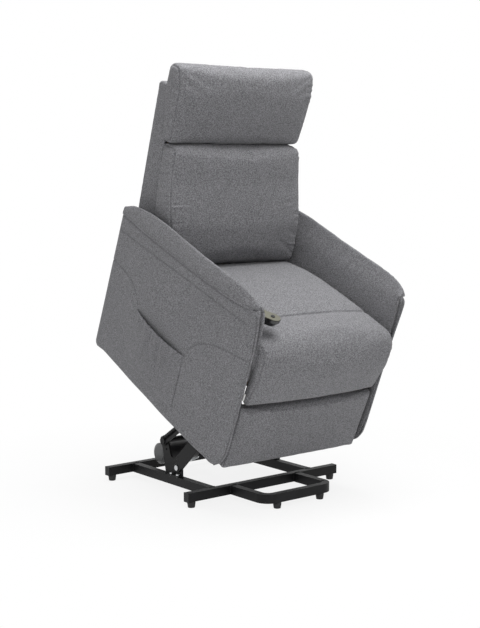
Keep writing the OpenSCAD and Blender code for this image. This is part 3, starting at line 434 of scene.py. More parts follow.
def sheetPiece(name, back, front):
    # a sheet with two faces, closed along its rim
    rows, columns = back.shape[:2]
    points = np.vstack([back.reshape(-1, 3), front.reshape(-1, 3)])
    shift = rows * columns
    grid = gridFaces(rows, columns)
    faces = [tuple(reversed(face)) for face in grid] + [tuple(k + shift for k in face) for face in grid]
    rim = list(range(columns)) + [j * columns + columns - 1 for j in range(1, rows)]
    rim += [(rows - 1) * columns + i for i in range(columns - 2, -1, -1)]
    rim += [j * columns for j in range(rows - 2, 0, -1)]
    faces += [(a, b, b + shift, a + shift) for a, b in zip(rim, rim[1:] + rim[:1])]
    return outward(newPiece(name, points, faces))


def unit(vector):
    return vector / norm(vector)


def share(value):
    return np.clip(value, 0, 1)


def turnIn(near, reach, depth):
    # how far a rounded edge draws in at a distance from it
    return depth * (1 - np.sqrt(1 - share(1 - near / reach) ** 2))


def distances(points):
    return np.r_[0, np.cumsum(norm(np.diff(points, axis=0), axis=1))]


def pointsAt(points, at):
    # where an open line is at each distance along it
    lengths = distances(points)
    return np.column_stack([np.interp(at, lengths, points[:, k]) for k in range(points.shape[1])])


def evenly(points, count):
    return pointsAt(points, np.linspace(0, distances(points)[-1], count))


def eased(points, rounds=3):
    # cuts the corners of an open line, and keeps its ends
    for _ in range(rounds):
        cut = np.repeat(points[:-1], 2, axis=0) * 0.75 + np.repeat(points[1:], 2, axis=0) * 0.25
        cut[1::2] = points[:-1] * 0.25 + points[1:] * 0.75
        points = np.vstack([points[:1], cut[1:-1], points[-1:]])
    return points


def cornered(a, b, c, radius, count):
    # the points of a corner at b that is rounded with a radius
    u, v = unit(a - b), unit(c - b)
    half = acos(np.clip(u @ v, -1, 1)) / 2
    sweep = pi - 2 * half
    middle = b + unit(u + v) * (radius / sin(half))
    first, last = (b + side * (radius / tan(half)) - middle for side in (u, v))
    turned = [(sin(sweep * (1 - i / count)), sin(sweep * i / count)) for i in range(count + 1)]
    return [middle + (first * before + last * after) / sin(sweep) for before, after in turned]


def rounded(corners, count):
    at = [np.array(corner[:2], float) for corner in corners]
    made = []
    for i, (_, _, radius) in enumerate(corners):
        made += cornered(at[i - 1], at[i], at[(i + 1) % len(at)], radius, count) if radius else [at[i]]
    return np.array(made)


def outlineNormals(outline):
    nexts = np.roll(outline, -1, axis=0) - np.roll(outline, 1, axis=0)
    return np.stack([nexts[:, 1], -nexts[:, 0]], 1) / norm(nexts, axis=1)[:, None]


def alongLine(points, line):
    # each point's gap to a line, and how far along the line it lies
    gap, along, gone = np.full(len(points), 9.0), np.zeros(len(points)), 0.0
    for a, b in zip(line[:-1], line[1:]):
        step = b - a
        length = norm(step)
        part = np.clip((points - a) @ step / length ** 2, 0, 1)
        away = norm(points - a - part[:, None] * step, axis=1)
        nearer = away < gap
        gap[nearer], along[nearer] = away[nearer], gone + part[nearer] * length
        gone += length
    return gap, along


ripples = {"waves": 6, "patches": (0.31, 0.17, 0.11), "turn": 6.3, "size": 2.8}


def wavy(along, seed, shortest=0.012, longest=0.05):
    # uneven ripples along a seam, from about -1 to 1, which come and go
    pick = np.random.default_rng(seed).uniform
    path, turn = 2 * pi * along, ripples["turn"]
    waves = sum(pick(0.5, 1) * np.sin(path / pick(shortest, longest) + pick(0, turn))
                for _ in range(ripples["waves"]))
    patches = sum(np.sin(path / length + pick(0, turn)) for length in ripples["patches"])
    return waves / ripples["size"] * np.clip(0.35 + 0.5 * patches, 0.1, 1.2)


def finer(piece, line, reach):
    # splits the faces near a line, so that a seam has points to follow
    def split(work):
        work.verts.ensure_lookup_table()
        gap, _ = alongLine(np.array([v.co[:] for v in work.verts]), line)
        edges = [e for e in work.edges if gap[e.verts[0].index] < reach and gap[e.verts[1].index] < reach]
        bmesh.ops.subdivide_edges(work, edges=edges, cuts=1, use_grid_fill=True)
        splitWide(work)
    return reworked(piece, split)


def surfaceTree(piece):
    mesh = piece.data
    return BVHTree.FromPolygons([v.co for v in mesh.vertices], [p.vertices for p in mesh.polygons])


def laidOn(piece, line):
    # the nearest points of its surface
    tree = surfaceTree(piece)
    return np.array([tree.find_nearest(Vector(point))[0][:] for point in line])


def sewn(piece, line, depth, width, pucker, reach, seed, shade=1.0):
    # a seam: a valley along the line, ripples beside it, and painted shade in its valley; sizes in metres
    line = laidOn(piece, line)
    points, normals = pointsOf(piece), normalsOf(piece)
    gap, along = alongLine(points, line)
    valley = depth * np.exp(-(gap / width) ** 2)
    beside = np.exp(-(gap / reach) ** 2) * (1 - np.exp(-(gap / (1.5 * width)) ** 2))
    setPoints(piece, points + normals * (pucker * wavy(along, seed) * beside - valley)[:, None])
    known = piece.data.attributes.get("seam")
    mark = np.zeros(len(points))
    if known:
        known.data.foreach_get("value", mark)
    else:
        known = piece.data.attributes.new("seam", "FLOAT", "POINT")
    # the seam attribute is painted shade, darkest on the line, which the cloth turns towards its seam colour
    shaded = shade * np.exp(-(gap / (0.45 * width)) ** 2)
    known.data.foreach_set("value", np.maximum(mark, shaded).astype(np.float32))


# threads in metres; a stitch is four rings of points, thin at its ends
stitch = {"length": 0.0062, "gap": 0.0038, "first": 0.004, "sides": 6,
          "rings": ((0.0, 0.35), (0.25, 1.0), (0.75, 1.0), (1.0, 0.35))}


def stitched(name, piece, line, thick=0.0007):
    # short threads along a line on the piece's surface
    tree = surfaceTree(piece)
    length, sides = stitch["length"], stitch["sides"]
    last = (len(stitch["rings"]) - 1) * sides
    turns = [2 * pi * k / sides for k in range(sides)]
    points, faces = [], []
    for start in np.arange(stitch["first"], distances(line)[-1] - length, length + stitch["gap"]):
        ends = [tree.find_nearest(Vector(at)) for at in pointsAt(line, [start, start + length])]
        if ends[0][0] is None or ends[1][0] is None:
            continue
        (a, normal), b = ends[0][:2], ends[1][0]
        along = (b - a).normalized()
        across = along.cross(normal).normalized()
        first = len(points)
        for part, size in stitch["rings"]:
            middle = a.lerp(b, part) + normal * (thick * 0.5 * size)
            points += [middle + thick * size * (cos(turn) * across + sin(turn) * normal)
                       for turn in turns]
        faces += gridFaces(len(stitch["rings"]), sides, True, first)
        faces.append(tuple(range(first + sides - 1, first - 1, -1)))
        faces.append(tuple(range(first + last, first + last + sides)))
    return newPiece(name, points, faces)


def tube(name, path, radii, sides):
    steps = np.gradient(path, axis=0)
    turns = 2 * pi * np.arange(sides) / sides
    rings = []
    for at, step, radius in zip(path, steps, radii):
        along = unit(step)
        across = unit(np.cross(along, [1.0, 0.02, 0.01]))
        other = np.cross(along, across)
        rings.append(at + radius * (np.cos(turns)[:, None] * across + np.sin(turns)[:, None] * other))
    return ringSkin(name, np.array(rings))


# what the cushions share: sizes in mm, from heldReach on in metres; spare is a share of the cloth
stuffing = {"spacing": 6, "rounding": 8, "turns": 8, "across": 32, "swell": 0.3, "middle": 2.4,
            "voxel": 6, "shrink": 3.5, "pressure": 4, "spare": 0.004, "travel": 10, "soft": 3,
            "steps": 20, "mass": 0.3, "stiff": 12, "bend": 0.6, "quickShare": 0.55,
            "heldReach": 0.0065, "finerReach": 0.007, "depth": 0.0028, "groove": 0.0042, "pucker": 0.0012,
            "reach": 0.022}


def swollen(piece, recipe, held):
    # stuffing presses the cover outwards, while its seams and its backing are held
    start = pointsOf(piece)
    most = recipe["travel"] / 1000
    group = piece.vertex_groups.new(name="held")
    for level, chosen in ((1.0, held >= 1), (0.5, (held >= 0.5) & (held < 1))):
        group.add([int(i) for i in np.nonzero(chosen)[0]], level, "REPLACE")
    cover = piece.modifiers.new("cover", "CLOTH")
    rules = cover.settings
    rules.quality = 5
    rules.mass = recipe["mass"]
    rules.tension_stiffness = rules.compression_stiffness = recipe["stiff"]
    rules.bending_stiffness = recipe["bend"]
    rules.shrink_min = -recipe["spare"]
    rules.use_pressure = True
    rules.uniform_pressure_force = recipe["pressure"]
    rules.effector_weights.gravity = 0
    rules.vertex_group_mass = "held"
    cover.point_cache.frame_start, cover.point_cache.frame_end = 1, recipe["steps"]
    for step in range(1, recipe["steps"] + 1):
        scene.frame_set(step)
    shape = shapedNow(piece).to_mesh()
    moved = vectorsOf(shape.vertices, "co") - start
    piece.modifiers.clear()
    scene.frame_set(1)
    far = norm(moved, axis=1)
    print(piece.name, "swelled by up to", round(float(far.max()) * 1000, 1), "mm, held to", recipe["travel"])
    setPoints(piece, start + moved * (most * np.tanh(far / most) / np.maximum(far, 1e-9))[:, None])
    piece.vertex_groups.clear()


def sideRing(outline, halfWidth, edge, side, angle=55):
    # the seam between a cushion's side and the strip that wraps round it
    turn = radians(angle)
    inset = outline - outlineNormals(outline) * edge * (1 - cos(turn))
    width = np.array([halfWidth(p) for p in outline]) - edge * (1 - sin(turn))
    ring = np.column_stack([side * width, inset]) / 1000
    return np.vstack([ring, ring[:1]])


def heldNear(points, lines, reach):
    held = np.zeros(len(points))
    for line in lines:
        gap, _ = alongLine(points, line)
        held = np.maximum(held, np.where(gap < reach, 1.0, np.where(gap < 2 * reach, 0.5, 0.0)))
    return held


def stuffedForm(name, recipe, halfWidth, crown):
    # the outline in mm is carried across, rounded into both sides and pushed out in the middle
    corners = rounded(recipe["outline"], recipe["rounding"])
    closed = np.vstack([corners, corners[:1]])
    around = distances(closed)[-1]
    outline = pointsAt(closed, np.linspace(0, around, int(around / recipe["spacing"]), endpoint=False))
    normals = outlineNormals(outline)
    puff = crown(outline, normals)
    width = np.array([halfWidth(p) for p in outline])
    edge, swell = recipe["edge"], recipe["swell"]
    # each station across is a share of the width, and what it turns, draws in and swells
    half = [(1.0, sin(a) - 1, edge * (1 - cos(a)), swell * (1 - sin(a)))
            for a in np.linspace(pi / 2, 0, recipe["turns"])]
    half += [(k, -k, 0.0, 1 - (1 - swell) * k ** recipe["middle"])
             for k in np.linspace(0.96, 0, recipe["across"])]
    stations = [(-wide, -turn, inset, swells) for wide, turn, inset, swells in half] + half[-2::-1]
    rings = []
    for wide, turn, inset, swells in stations:
        moved = outline + normals * (puff * swells - inset)[:, None]
        rings.append(np.column_stack([wide * width + turn * edge, moved]))
    return ringSkin(name, np.array(rings) / 1000), outline


def seamOf(recipe):
    return (recipe[key] for key in ("depth", "groove", "pucker", "reach"))


def stuffed(name, recipe, backing, halfWidth, crown, extra=()):
    # backing says which points lie against the frame, and extra is the seams besides those at the sides
    piece, outline = stuffedForm(name, recipe, halfWidth, crown)
    piece = smoothed(remeshed(piece, recipe["voxel"]), recipe["soft"])
    setPoints(piece, pointsOf(piece) - normalsOf(piece) * recipe["shrink"] / 1000)
    rings = [sideRing(outline, halfWidth, recipe["edge"], side) for side in (-1, 1)]
    points = pointsOf(piece)
    held = heldNear(points, rings + list(extra), recipe["heldReach"])
    swollen(piece, recipe, np.maximum(held, backing(points).astype(float)))
    piece = smoothed(subdivided(piece), 2)
    rings = [laidOn(piece, ring) for ring in rings]
    for ring in rings:
        finer(piece, ring, recipe["finerReach"])
    for seed, ring in enumerate(rings, 1 + len(name)):
        sewn(piece, ring, *seamOf(recipe), seed)
    return piece


# the arms, in mm: lean and curve shape the front, and each brow is a reach below the top and a curve
arm = {"innerHalf": 284.3, "thick": 25, "bulge": 15, "flare": 6, "taper": 13, "lining": 12, "panelEdge": 3,
       "low": 62, "rearHeight": 487, "rise": 56, "cornerLift": 20, "padLow": 392.4, "length": 769,
       "rear": 275, "rearLean": 0.0763, "frontLean": 0.0856, "toe": 88, "toeCurve": 0.0057,
       "brows": ((110, 0.0007), (20, 0.02))}
arms = (-1, "right"), (1, "left")
innerHalf, armLow = arm["innerHalf"], arm["low"]
outHalf, panelIn = innerHalf + arm["thick"], innerHalf + arm["lining"]

# outlines are y, z and the corner's radius
seat = {**stuffing, "spare": 0.003, "travel": 9, "soft": 8, "depth": 0.0015, "edge": 20, "crown": 18,
        "sideGap": 7, "outline": [
        [102, 417, 21], [102, 467, 21], [46, 480, 0], [-24, 494, 0], [-110, 506, 0], [-230, 514, 0],
        [-337, 518, 0], [-346, 514, 0], [-355, 518, 0], [-508, 521, 54], [-512, 407, 90], [-490, 297, 21],
        [-450, 297, 20.5], [-450, 417, 16]]}
seatSeam = {"at": -0.346, "up": 0.517, "rise": 0.010, "half": 277, "end": 270, "step": 15, "depth": 0.0026,
            "groove": 0.004, "pucker": 0.0008, "reach": 0.02, "seed": 5, "stitchesBehind": 0.006}
crossSeam = np.array([
    [x / 1000, seatSeam["at"], seatSeam["up"] + seatSeam["rise"] * (1 - (x / seatSeam["half"]) ** 2)]
    for x in range(-seatSeam["end"], seatSeam["end"] + 1, seatSeam["step"])])


def seatBacking(points):
    # the underside, the rear edge and the back of the apron
    y, z = points[:, 1], points[:, 2]
    return (z < 0.425) & (y > -0.44) | (y > 0.088) | (y > -0.458) & (z < 0.43)


seatPiece = stuffed(
    "seatCushion", seat, seatBacking,
    lambda p: innerHalf - seat["sideGap"],
    lambda p, n: seat["crown"] * share(n @ [-1, 1.1]) * share((60 - p[:, 0]) / 120), [crossSeam])
sewn(seatPiece, crossSeam, *seamOf(seatSeam), seatSeam["seed"])
seatStitches = stitched("seatStitches", seatPiece, crossSeam + [0, seatSeam["stitchesBehind"], 0])
dressed(seatPiece, *onSeat, ["seat_cushion"])
dressed(seatStitches, *onSeat, material="thread")
print("seat cushion filled and sewn")

# where the back shell's front edge runs, and how far ahead of it a cushion lies on it
shellSeam = {"heights": [34, 90, 188, 300, 440, 617], "fronts": [-40, -72, -62, -46, -30, -9], "gap": 0.4,
             "ahead": 0.010}


def onSeam(z):
    return float(np.interp(z, shellSeam["heights"], shellSeam["fronts"])) - shellSeam["gap"]


def onShell(points):
    front = np.interp(points[:, 2] * 1000, shellSeam["heights"], shellSeam["fronts"]) / 1000
    return points[:, 1] > front - shellSeam["ahead"]


upholstered = {**stuffing, "pucker": 0.002, "reach": 0.034, "depth": 0.003, "groove": 0.0046, "soft": 14}
back = {**upholstered, "edge": 17, "crown": 20, "sideGap": 13, "bulge": 11, "rear": [
        [43, 18], [90, 0], [140, 0], [188, 0], [250, 0], [300, 0], [370, 0], [441, 18]],
        "front": [[-114, 441, 28], [-134, 330, 120], [-174, 190, 90], [-190, 43, 28]]}
back["outline"] = [[onSeam(z), z, radius] for z, radius in back["rear"]] + back["front"]


def backHalf(point):
    middle = sin(pi * min(1, max(0, (point[1] - 50) / 380)))
    return innerHalf - back["sideGap"] + back["bulge"] * middle


backPiece = stuffed(
    "backCushion", back, onShell, backHalf,
    lambda p, n: back["crown"] * share(n @ [-1, 0.1]) * share((p[:, 1] - 40) / 60))
# gathers that rise from the lower edge of the cushion, in metres
gathers = {"middle": 0.085, "half": 0.05, "from": 0.06, "rise": 0.075, "deep": 0.0035, "front": -0.1,
           "slant": 0.05, "waves": (12, 0.016, 0.03)}
points, normals = pointsOf(backPiece), normalsOf(backPiece)
ahead = points[:, 1] < gathers["front"]
across = np.exp(-((points[:, 0] - gathers["middle"]) / gathers["half"]) ** 4)
up = np.exp(-(np.maximum(0, points[:, 2] - gathers["from"]) / gathers["rise"]) ** 1.5)
ripple = wavy(points[:, 0] + gathers["slant"] * points[:, 2] + 1, *gathers["waves"])
setPoints(backPiece, points + normals * (gathers["deep"] * ripple * across * up * ahead)[:, None])
dressed(backPiece, *onBack, ["back_cushion"])
print("back cushion filled and sewn")

head = {**upholstered, "edge": 18, "crown": 19, "sideGap": 6, "widening": 13, "low": 442, "height": 259,
        "shellTop": 0.617, "outline": [
        [onSeam(438), 438, 19], [onSeam(480), 480, 0], [onSeam(520), 520, 0], [onSeam(570), 570, 0],
        [-10, 613, 0], [-20, 677, 0], [-28, 701, 19], [-90, 701, 36], [-105, 620, 60], [-100, 530, 60],
        [-90, 438, 24]]}
headPiece = stuffed(
    "headrestCushion", head, lambda points: onShell(points) & (points[:, 2] < head["shellTop"]),
    lambda p: innerHalf - head["sideGap"] + head["widening"] * (p[1] - head["low"]) / head["height"],
    lambda p, n: head["crown"] * share(n @ [-1, 0.3]))
dressed(headPiece, *onBack, ["headrest"])
print("headrest filled and sewn")

leg = {**stuffing, "voxel": 5, "shrink": 2, "pressure": 3, "spare": 0.002, "travel": 5, "pucker": 0.0007,
       "depth": 0.0012, "edge": 8, "crown": 8, "sideGap": 2.3, "boardFront": -0.449,
       "outline": [[-442.4, 66, 9], [-442.4, 290, 9], [-482, 290, 16], [-488, 130, 40], [-490, 64, 14]]}
legPiece = stuffed(
    "legPad", leg, lambda points: points[:, 1] > leg["boardFront"],
    lambda p: innerHalf - leg["sideGap"],
    lambda p, n: leg["crown"] * share(-n[:, 0]))
dressed(legPiece, seatPlace, "leg_panel", ["leg_pad"])
print("leg pad filled and sewn")


# the arms' shape: t runs from the rear to the front, and up from the lower edge to the seam
def seamHeight(t):
    return armLow + arm["rearHeight"] + arm["rise"] * t + arm["cornerLift"] * t ** 8


def armRear(z):
    return arm["rear"] + (z - armLow) * arm["rearLean"]


def armFront(z):
    above, top = z - armLow - arm["toe"], seamHeight(1.0)
    curves = np.maximum(0, -above) ** 2 * arm["toeCurve"]
    curves = curves + sum(np.maximum(0, z - top + reach) ** 2 * curve for reach, curve in arm["brows"])
    return arm["rear"] - arm["length"] + above * arm["frontLean"] + curves


def armY(z, t):
    return armRear(z) + (armFront(z) - armRear(z)) * t


def armBulge(t, up):
    # fullest above the middle, flared at the front's top and thinner at its foot
    up = share(up)
    full = (1 - np.abs(2 * t - 1) ** 3) * np.sin(pi * np.minimum(0.62, 0.08 + up * 0.6)) ** 0.8
    return arm["bulge"] * full + arm["flare"] * t ** 3 * up ** 7 - arm["taper"] * t ** 6 * (1 - up ** 6)


def armFace(y, z):
    # how far out the arm's outer face is at a point in y and z
    t = share((armRear(z) - y) / (armRear(z) - armFront(z)))
    return outHalf + armBulge(t, (z - armLow) / (seamHeight(t) - armLow))


# corner rounds the lower corners, droop and wobble let the lower edge sag, and only the lining reaches in
panel = {"columns": 96, "rows": 64, "liningRows": 40, "edge": 7, "frontEdge": 13, "corner": 22, "wave": 1.3,
         "droop": 9, "droopLength": 36, "wobble": 0.7, "sagShare": 0.3, "reachIn": 9, "reachFrom": 0.955}
# shade is the share of painted seam shade that the arm panels' seams get
panelSeam = {"depth": 0.0016, "groove": 0.0032, "pucker": 0.0006, "reach": 0.02, "seed": 20, "shade": 0.75,
             "finer": (0.011, 0.007), "spacing": 12.0, "stitchesAbove": 0.0035, "thread": 0.0006}
panelLines = {
    "shoulder": [(300, 494), (120, 516), (-52, 536), (-220, 551), (-380, 562), (-462, 566)],
    "rearCurve": [(303, 379), (265, 383), (229, 385), (190, 384), (154, 379), (128, 366), (108, 351),
                  (92, 332), (83, 314)],
    "frontCurve": [(-203, 314), (-207, 325), (-218, 347), (-233, 368), (-257, 394), (-287, 411), (-320, 425),
                   (-358, 437), (-410, 448), (-466, 458)],
    "mouth": [(83, 314), (20, 307), (-60, 303), (-140, 307), (-203, 314)],
}


def panelY(z, t):
    drawnIn = turnIn(np.asarray(z, float) - armLow, panel["corner"], panel["corner"])
    rear, front = armRear(z) - drawnIn, armFront(z) + drawnIn
    return rear + (front - rear) * t


def panelRing(t, side):
    # the lining and the outer face at one place along the arm
    heights = np.r_[0, 0.004, 0.01, 0.018, 0.026, np.linspace(0.035, 0.975, panel["rows"]), 0.988, 0.996, 1]
    tall, fromFront = seamHeight(t) - armLow, (1 - t) * arm["length"]
    z = armLow + tall * heights
    y = panelY(z, t)
    x = np.maximum(outHalf + armBulge(t, heights), panelIn + arm["panelEdge"])
    # the cover turns in at its edges and eases in and out between them
    near = np.minimum(np.minimum(heights, 1 - heights) * tall, min(t, 1 - t) * arm["length"])
    x = x - turnIn(near, panel["edge"], panel["edge"])
    x = np.maximum(x - turnIn(fromFront, panel["frontEdge"], panel["frontEdge"] - panel["edge"]), panelIn + 1)
    ease = panel["wave"] * np.sin(y / 71 + 1.3 * np.sin(z / 90)) * np.sin(z / 83 + side) * share(near / 40)
    sag = panel["droop"] * exp(-(t * arm["length"] / panel["droopLength"]) ** 2)
    sag += panel["wobble"] * sin(t * 23) * sin(pi * t)
    outer = np.column_stack([x + ease, y, z - sag * share(1 - heights / panel["sagShare"]) ** 2])
    # the lining reaches in towards the seat at the front, below the pad
    down = np.linspace(1, 0, panel["liningRows"])
    zIn = armLow + tall * down
    reachIn = panel["reachIn"] * share((t - panel["reachFrom"]) / 0.02)
    reachIn = reachIn * share((arm["padLow"] - 4 - zIn) / 12) * share((zIn - armLow) / 12)
    dropIn = sag * share(1 - down / panel["sagShare"]) ** 2
    return np.vstack([np.column_stack([panelIn - reachIn, panelY(zIn, t), zIn - dropIn]), outer])


def armPanel(name, side):
    places = np.r_[0, 0.004, 0.012, np.linspace(0.03, 0.97, panel["columns"]), 0.985, 0.994, 1]
    rings = [panelRing(t, side) for t in places]
    piece = ringSkin(name, np.array(rings) * [side / 1000, 0.001, 0.001])
    lines = []
    # the pocket covers the mouth's line on the right arm
    for label in ("shoulder", "rearCurve", "frontCurve") + (() if side < 0 else ("mouth",)):
        flat = np.array(panelLines[label], float)
        y, z = pointsAt(flat, np.arange(0, distances(flat)[-1], panelSeam["spacing"])).T
        lines.append(np.column_stack([side * armFace(y, z), y, z]) / 1000)
    for line in lines:
        for reach in panelSeam["finer"]:
            finer(piece, line, reach)
    for count, line in enumerate(lines):
        sewn(piece, line, *seamOf(panelSeam), panelSeam["seed"] + count, panelSeam["shade"])
    return piece, lines


for side, sideName in arms:
    panelPiece, lines = armPanel(sideName + "ArmPanel", side)
    for count, line in enumerate(lines):
        raised = line + [0, 0, panelSeam["stitchesAbove"]]
        threads = stitched(f"{sideName}ArmStitches{count}", panelPiece, raised, panelSeam["thread"])
        dressed(threads, *onSeat, material="thread")
    dressed(panelPiece, *onSeat, [sideName + "_arm_panel"])
print("arm panels sewn")

armPad = {"columns": 110, "points": 76, "wave": 1.1, "edge": 4, "frontTurn": 6.5, "frontLength": 30,
          "roll": 52, "proud": 12, "rearFullness": 0.38, "rearHump": 17, "humpAt": 0.22, "humpHalf": 0.24,
          "deep": 477, "overhang": 0.35}


def armRoll(t):
    # how high the roll stands above the seam
    full = sin(pi / 2 * min(1, 1.6 * t + 0.01)) ** armPad["rearFullness"]
    full *= sqrt(1 - 0.99 * t ** 12)
    hump = exp(-((t - armPad["humpAt"]) / armPad["humpHalf"]) ** 2) * min(1, t / 0.06)
    return 2 + armPad["roll"] * full + armPad["rearHump"] * hump


def padRing(t, side):
    top, roll, gap = seamHeight(t), armRoll(t), shellSeam["gap"]
    outer, inner = outHalf + armBulge(t, 1.0), innerHalf
    proud = armPad["proud"] * (1 - t ** 8)
    # the cover from the seam over the roll and down to the seat, by shares of the arm's thickness
    over = [(0.97, top + gap), (1.0, top + roll * 0.22), (0.99, top + roll * 0.5), (0.93, top + roll * 0.84),
            (0.8, top + roll + proud), (0.66, top + roll + 0.6 * proud), (0.52, top + roll * 0.78),
            (0.37, top + roll * 0.42), (0.22, top + roll * 0.05), (0.09, top - 30),
            (0, armPad["deep"]), (0, arm["padLow"])]
    over = eased(np.array([(inner + (outer - inner) * part, z) for part, z in over], float))
    over = evenly(over, armPad["points"])
    # the ends are soft, and the padding eases in and out
    turned = turnIn(min(t, 1 - t) * arm["length"], armPad["edge"], armPad["edge"])
    turned += turnIn((1 - t) * arm["length"], armPad["frontLength"], armPad["frontTurn"])
    sides = np.gradient(over, axis=0)
    normals = np.column_stack([-sides[:, 1], sides[:, 0]]) / norm(sides, axis=1)[:, None]
    ease = armPad["wave"] * np.sin(t * 37 + 2 * np.sin(over[:, 1] / 60)) * np.sin(over[:, 1] / 47 + side)
    count = np.arange(armPad["points"])
    ends = share(np.minimum(count, count[::-1]) / 8)
    over = over - normals * ((turned - 0.6 * np.abs(ease) * ends) * ends)[:, None]
    section = np.vstack([[panelIn - gap, arm["padLow"]], [panelIn - gap, top + gap], over])
    height = section[:, 1]
    y = armY(np.minimum(height, top), t) + np.maximum(0, height - top) * armPad["overhang"] * t ** 6
    return np.column_stack([section[:, 0], y, height])


padPlaces = np.r_[0, 0.003, 0.008, np.linspace(0.015, 0.95, armPad["columns"]), np.linspace(0.955, 0.99, 12),
                  0.994, 0.998, 1]
for side, sideName in arms:
    padRings = np.array([padRing(t, side) for t in padPlaces])
    padPiece = ringSkin(sideName + "ArmPad", padRings * [side / 1000, 0.001, 0.001])
    dressed(padPiece, *onSeat, [sideName + "_arm_pad"])
print("arm pads filled")

piping = {"thin": 2.0, "thick": 3.2, "thickFrom": 0.42, "thickOver": 0.14, "sides": 10, "spacing": 4.0,
          "eased": 6, "inside": 5.5, "ahead": 2.6, "topPoints": 60, "topEnd": 0.965,
          "down": (0.985, 0.96, 0.93, 0.9, 0.8, 0.7, 0.6, 0.5, 0.4, 0.3, 0.2, 0.12, 0.06, 0.01)}
# along the top seam, round the front corner and down the front edge
pipingPath = [(outHalf + armBulge(t, 1.0) - 0.5, armY(seamHeight(t), t), seamHeight(t) + 0.6)
              for t in np.linspace(0.004, piping["topEnd"], piping["topPoints"])]
for up in piping["down"]:
    z = armLow + (seamHeight(1.0) - armLow) * up
    face = max(outHalf + armBulge(1.0, up), panelIn + arm["panelEdge"])
    pipingPath.append((face - piping["inside"], panelY(z, 1.0) - piping["ahead"], z))
pipingPath = np.array(pipingPath, float)
pipingPath = evenly(pipingPath, int(distances(pipingPath)[-1] / piping["spacing"]))
for _ in range(piping["eased"]):
    pipingPath[1:-1] = (pipingPath[:-2] + 2 * pipingPath[1:-1] + pipingPath[2:]) / 4
gone = np.arange(1, len(pipingPath) + 1) / len(pipingPath)
thicker = share((gone - piping["thickFrom"]) / piping["thickOver"])
pipingRadii = (piping["thin"] + (piping["thick"] - piping["thin"]) * thicker) / 1000
for side, sideName in arms:
    welt = tube(sideName + "ArmWelt", pipingPath * [side / 1000, 0.001, 0.001], pipingRadii, piping["sides"])
    dressed(welt, *onSeat, [sideName + "_arm_piping"])
print("piping made")

pocket = {"width": 286, "depth": 200, "room": 11, "cloth": 2.4, "middle": -62, "top": 314, "sag": 5,
          "splay": 16, "standOff": 0.25, "hem": 0.9, "hemAt": 0.93, "hemHalf": 0.010, "rim": 9,
          "gatherRim": 14, "columns": 170, "rows": 90}
# gathers: place along the mouth, half width, how far down, height in mm, slant
pleats = [(0.10, 0.030, 0.30, 3.2, 0.02), (0.19, 0.016, 0.34, 4.4, 0.05), (0.30, 0.024, 0.46, 6.4, -0.03),
          (0.385, 0.013, 0.62, 7.2, 0.03), (0.46, 0.020, 0.34, 4.6, -0.05), (0.55, 0.014, 0.70, 8.0, 0.07),
          (0.65, 0.024, 0.42, 5.4, 0.01), (0.75, 0.013, 0.66, 7.0, -0.04), (0.83, 0.020, 0.36, 5.0, -0.09),
          (0.91, 0.012, 0.52, 6.0, -0.12)]


def pleated(u, down):
    # the gathers fade downwards and are pressed flatter at the hem
    hemmed = 1 - 0.5 * np.exp(-(down / 0.05) ** 2)
    return sum(
        high * np.exp(-((u - place - slant * down) / half) ** 2) * np.exp(-(down / fades) ** 2) * hemmed
        for place, half, fades, high, slant in pleats)


def pocketGrid(off):
    rows = []
    u = np.linspace(0, 1, pocket["columns"])
    for v in 1 - (1 - np.linspace(0, 1, pocket["rows"])) ** 1.25:
        y = pocket["middle"] + pocket["width"] * (0.5 - u) - pocket["splay"] * (1 - v) * (u - 0.5)
        z = pocket["top"] - pocket["depth"] * (1 - v) - pocket["sag"] * np.sin(pi * u) * v
        stand = (pocket["room"] + pocket["cloth"]) * np.sin(pi * u) ** 0.5 * v ** 0.8
        hem = -pocket["hem"] * np.exp(-((v - pocket["hemAt"]) / pocket["hemHalf"]) ** 2)
        # the cloth thins to nothing towards its sewn sides and bottom
        rim = np.minimum(np.minimum(u, 1 - u) * pocket["width"], v * pocket["depth"])
        thick = off * share(0.12 + rim / pocket["rim"])
        raised = np.maximum(0.0, stand + (pleated(u, 1 - v) - 1.4) * share(rim / pocket["gatherRim"]))
        x = armFace(y, z) + pocket["standOff"] + raised + hem * share(rim / pocket["rim"]) + thick
        rows.append(np.column_stack([-x, y, z]))
    return np.array(rows) / 1000


pocketPiece = sheetPiece("sidePocket", pocketGrid(0), pocketGrid(pocket["cloth"]))
dressed(pocketPiece, *onSeat, ["side_pocket"])
print("pocket gathered")

shell = {"halfWidth": 256, "narrowing": 4, "rear": 62.5, "wall": 8, "low": 34, "top": 617, "closed": 21,
         "corner": 15, "edge": 12, "lowEdge": 9.6, "sideFull": 0.8, "rearFull": 2.0,
         "rows": np.r_[34, 35, 37, 40, 46, np.linspace(54, 594, 50), 595.9, 597, 605, 610, 613, 615.5, 617]}
cornerSeam = {"inside": 3.5, "heights": range(46, 606, 14), "finer": 0.012, "seed": 40, "depth": 0.0018,
              "groove": 0.0035, "pucker": 0.0008, "reach": 0.02}
hemSeam = {"up": 74, "outside": 2, "places": range(-236, 237, 14), "finer": 0.014, "seed": 44,
           "depth": 0.0014, "groove": 0.0035, "pucker": 0.0006, "reach": 0.02}


def shellHalf(z):
    return shell["halfWidth"] - shell["narrowing"] * (z / shell["top"]) ** 2


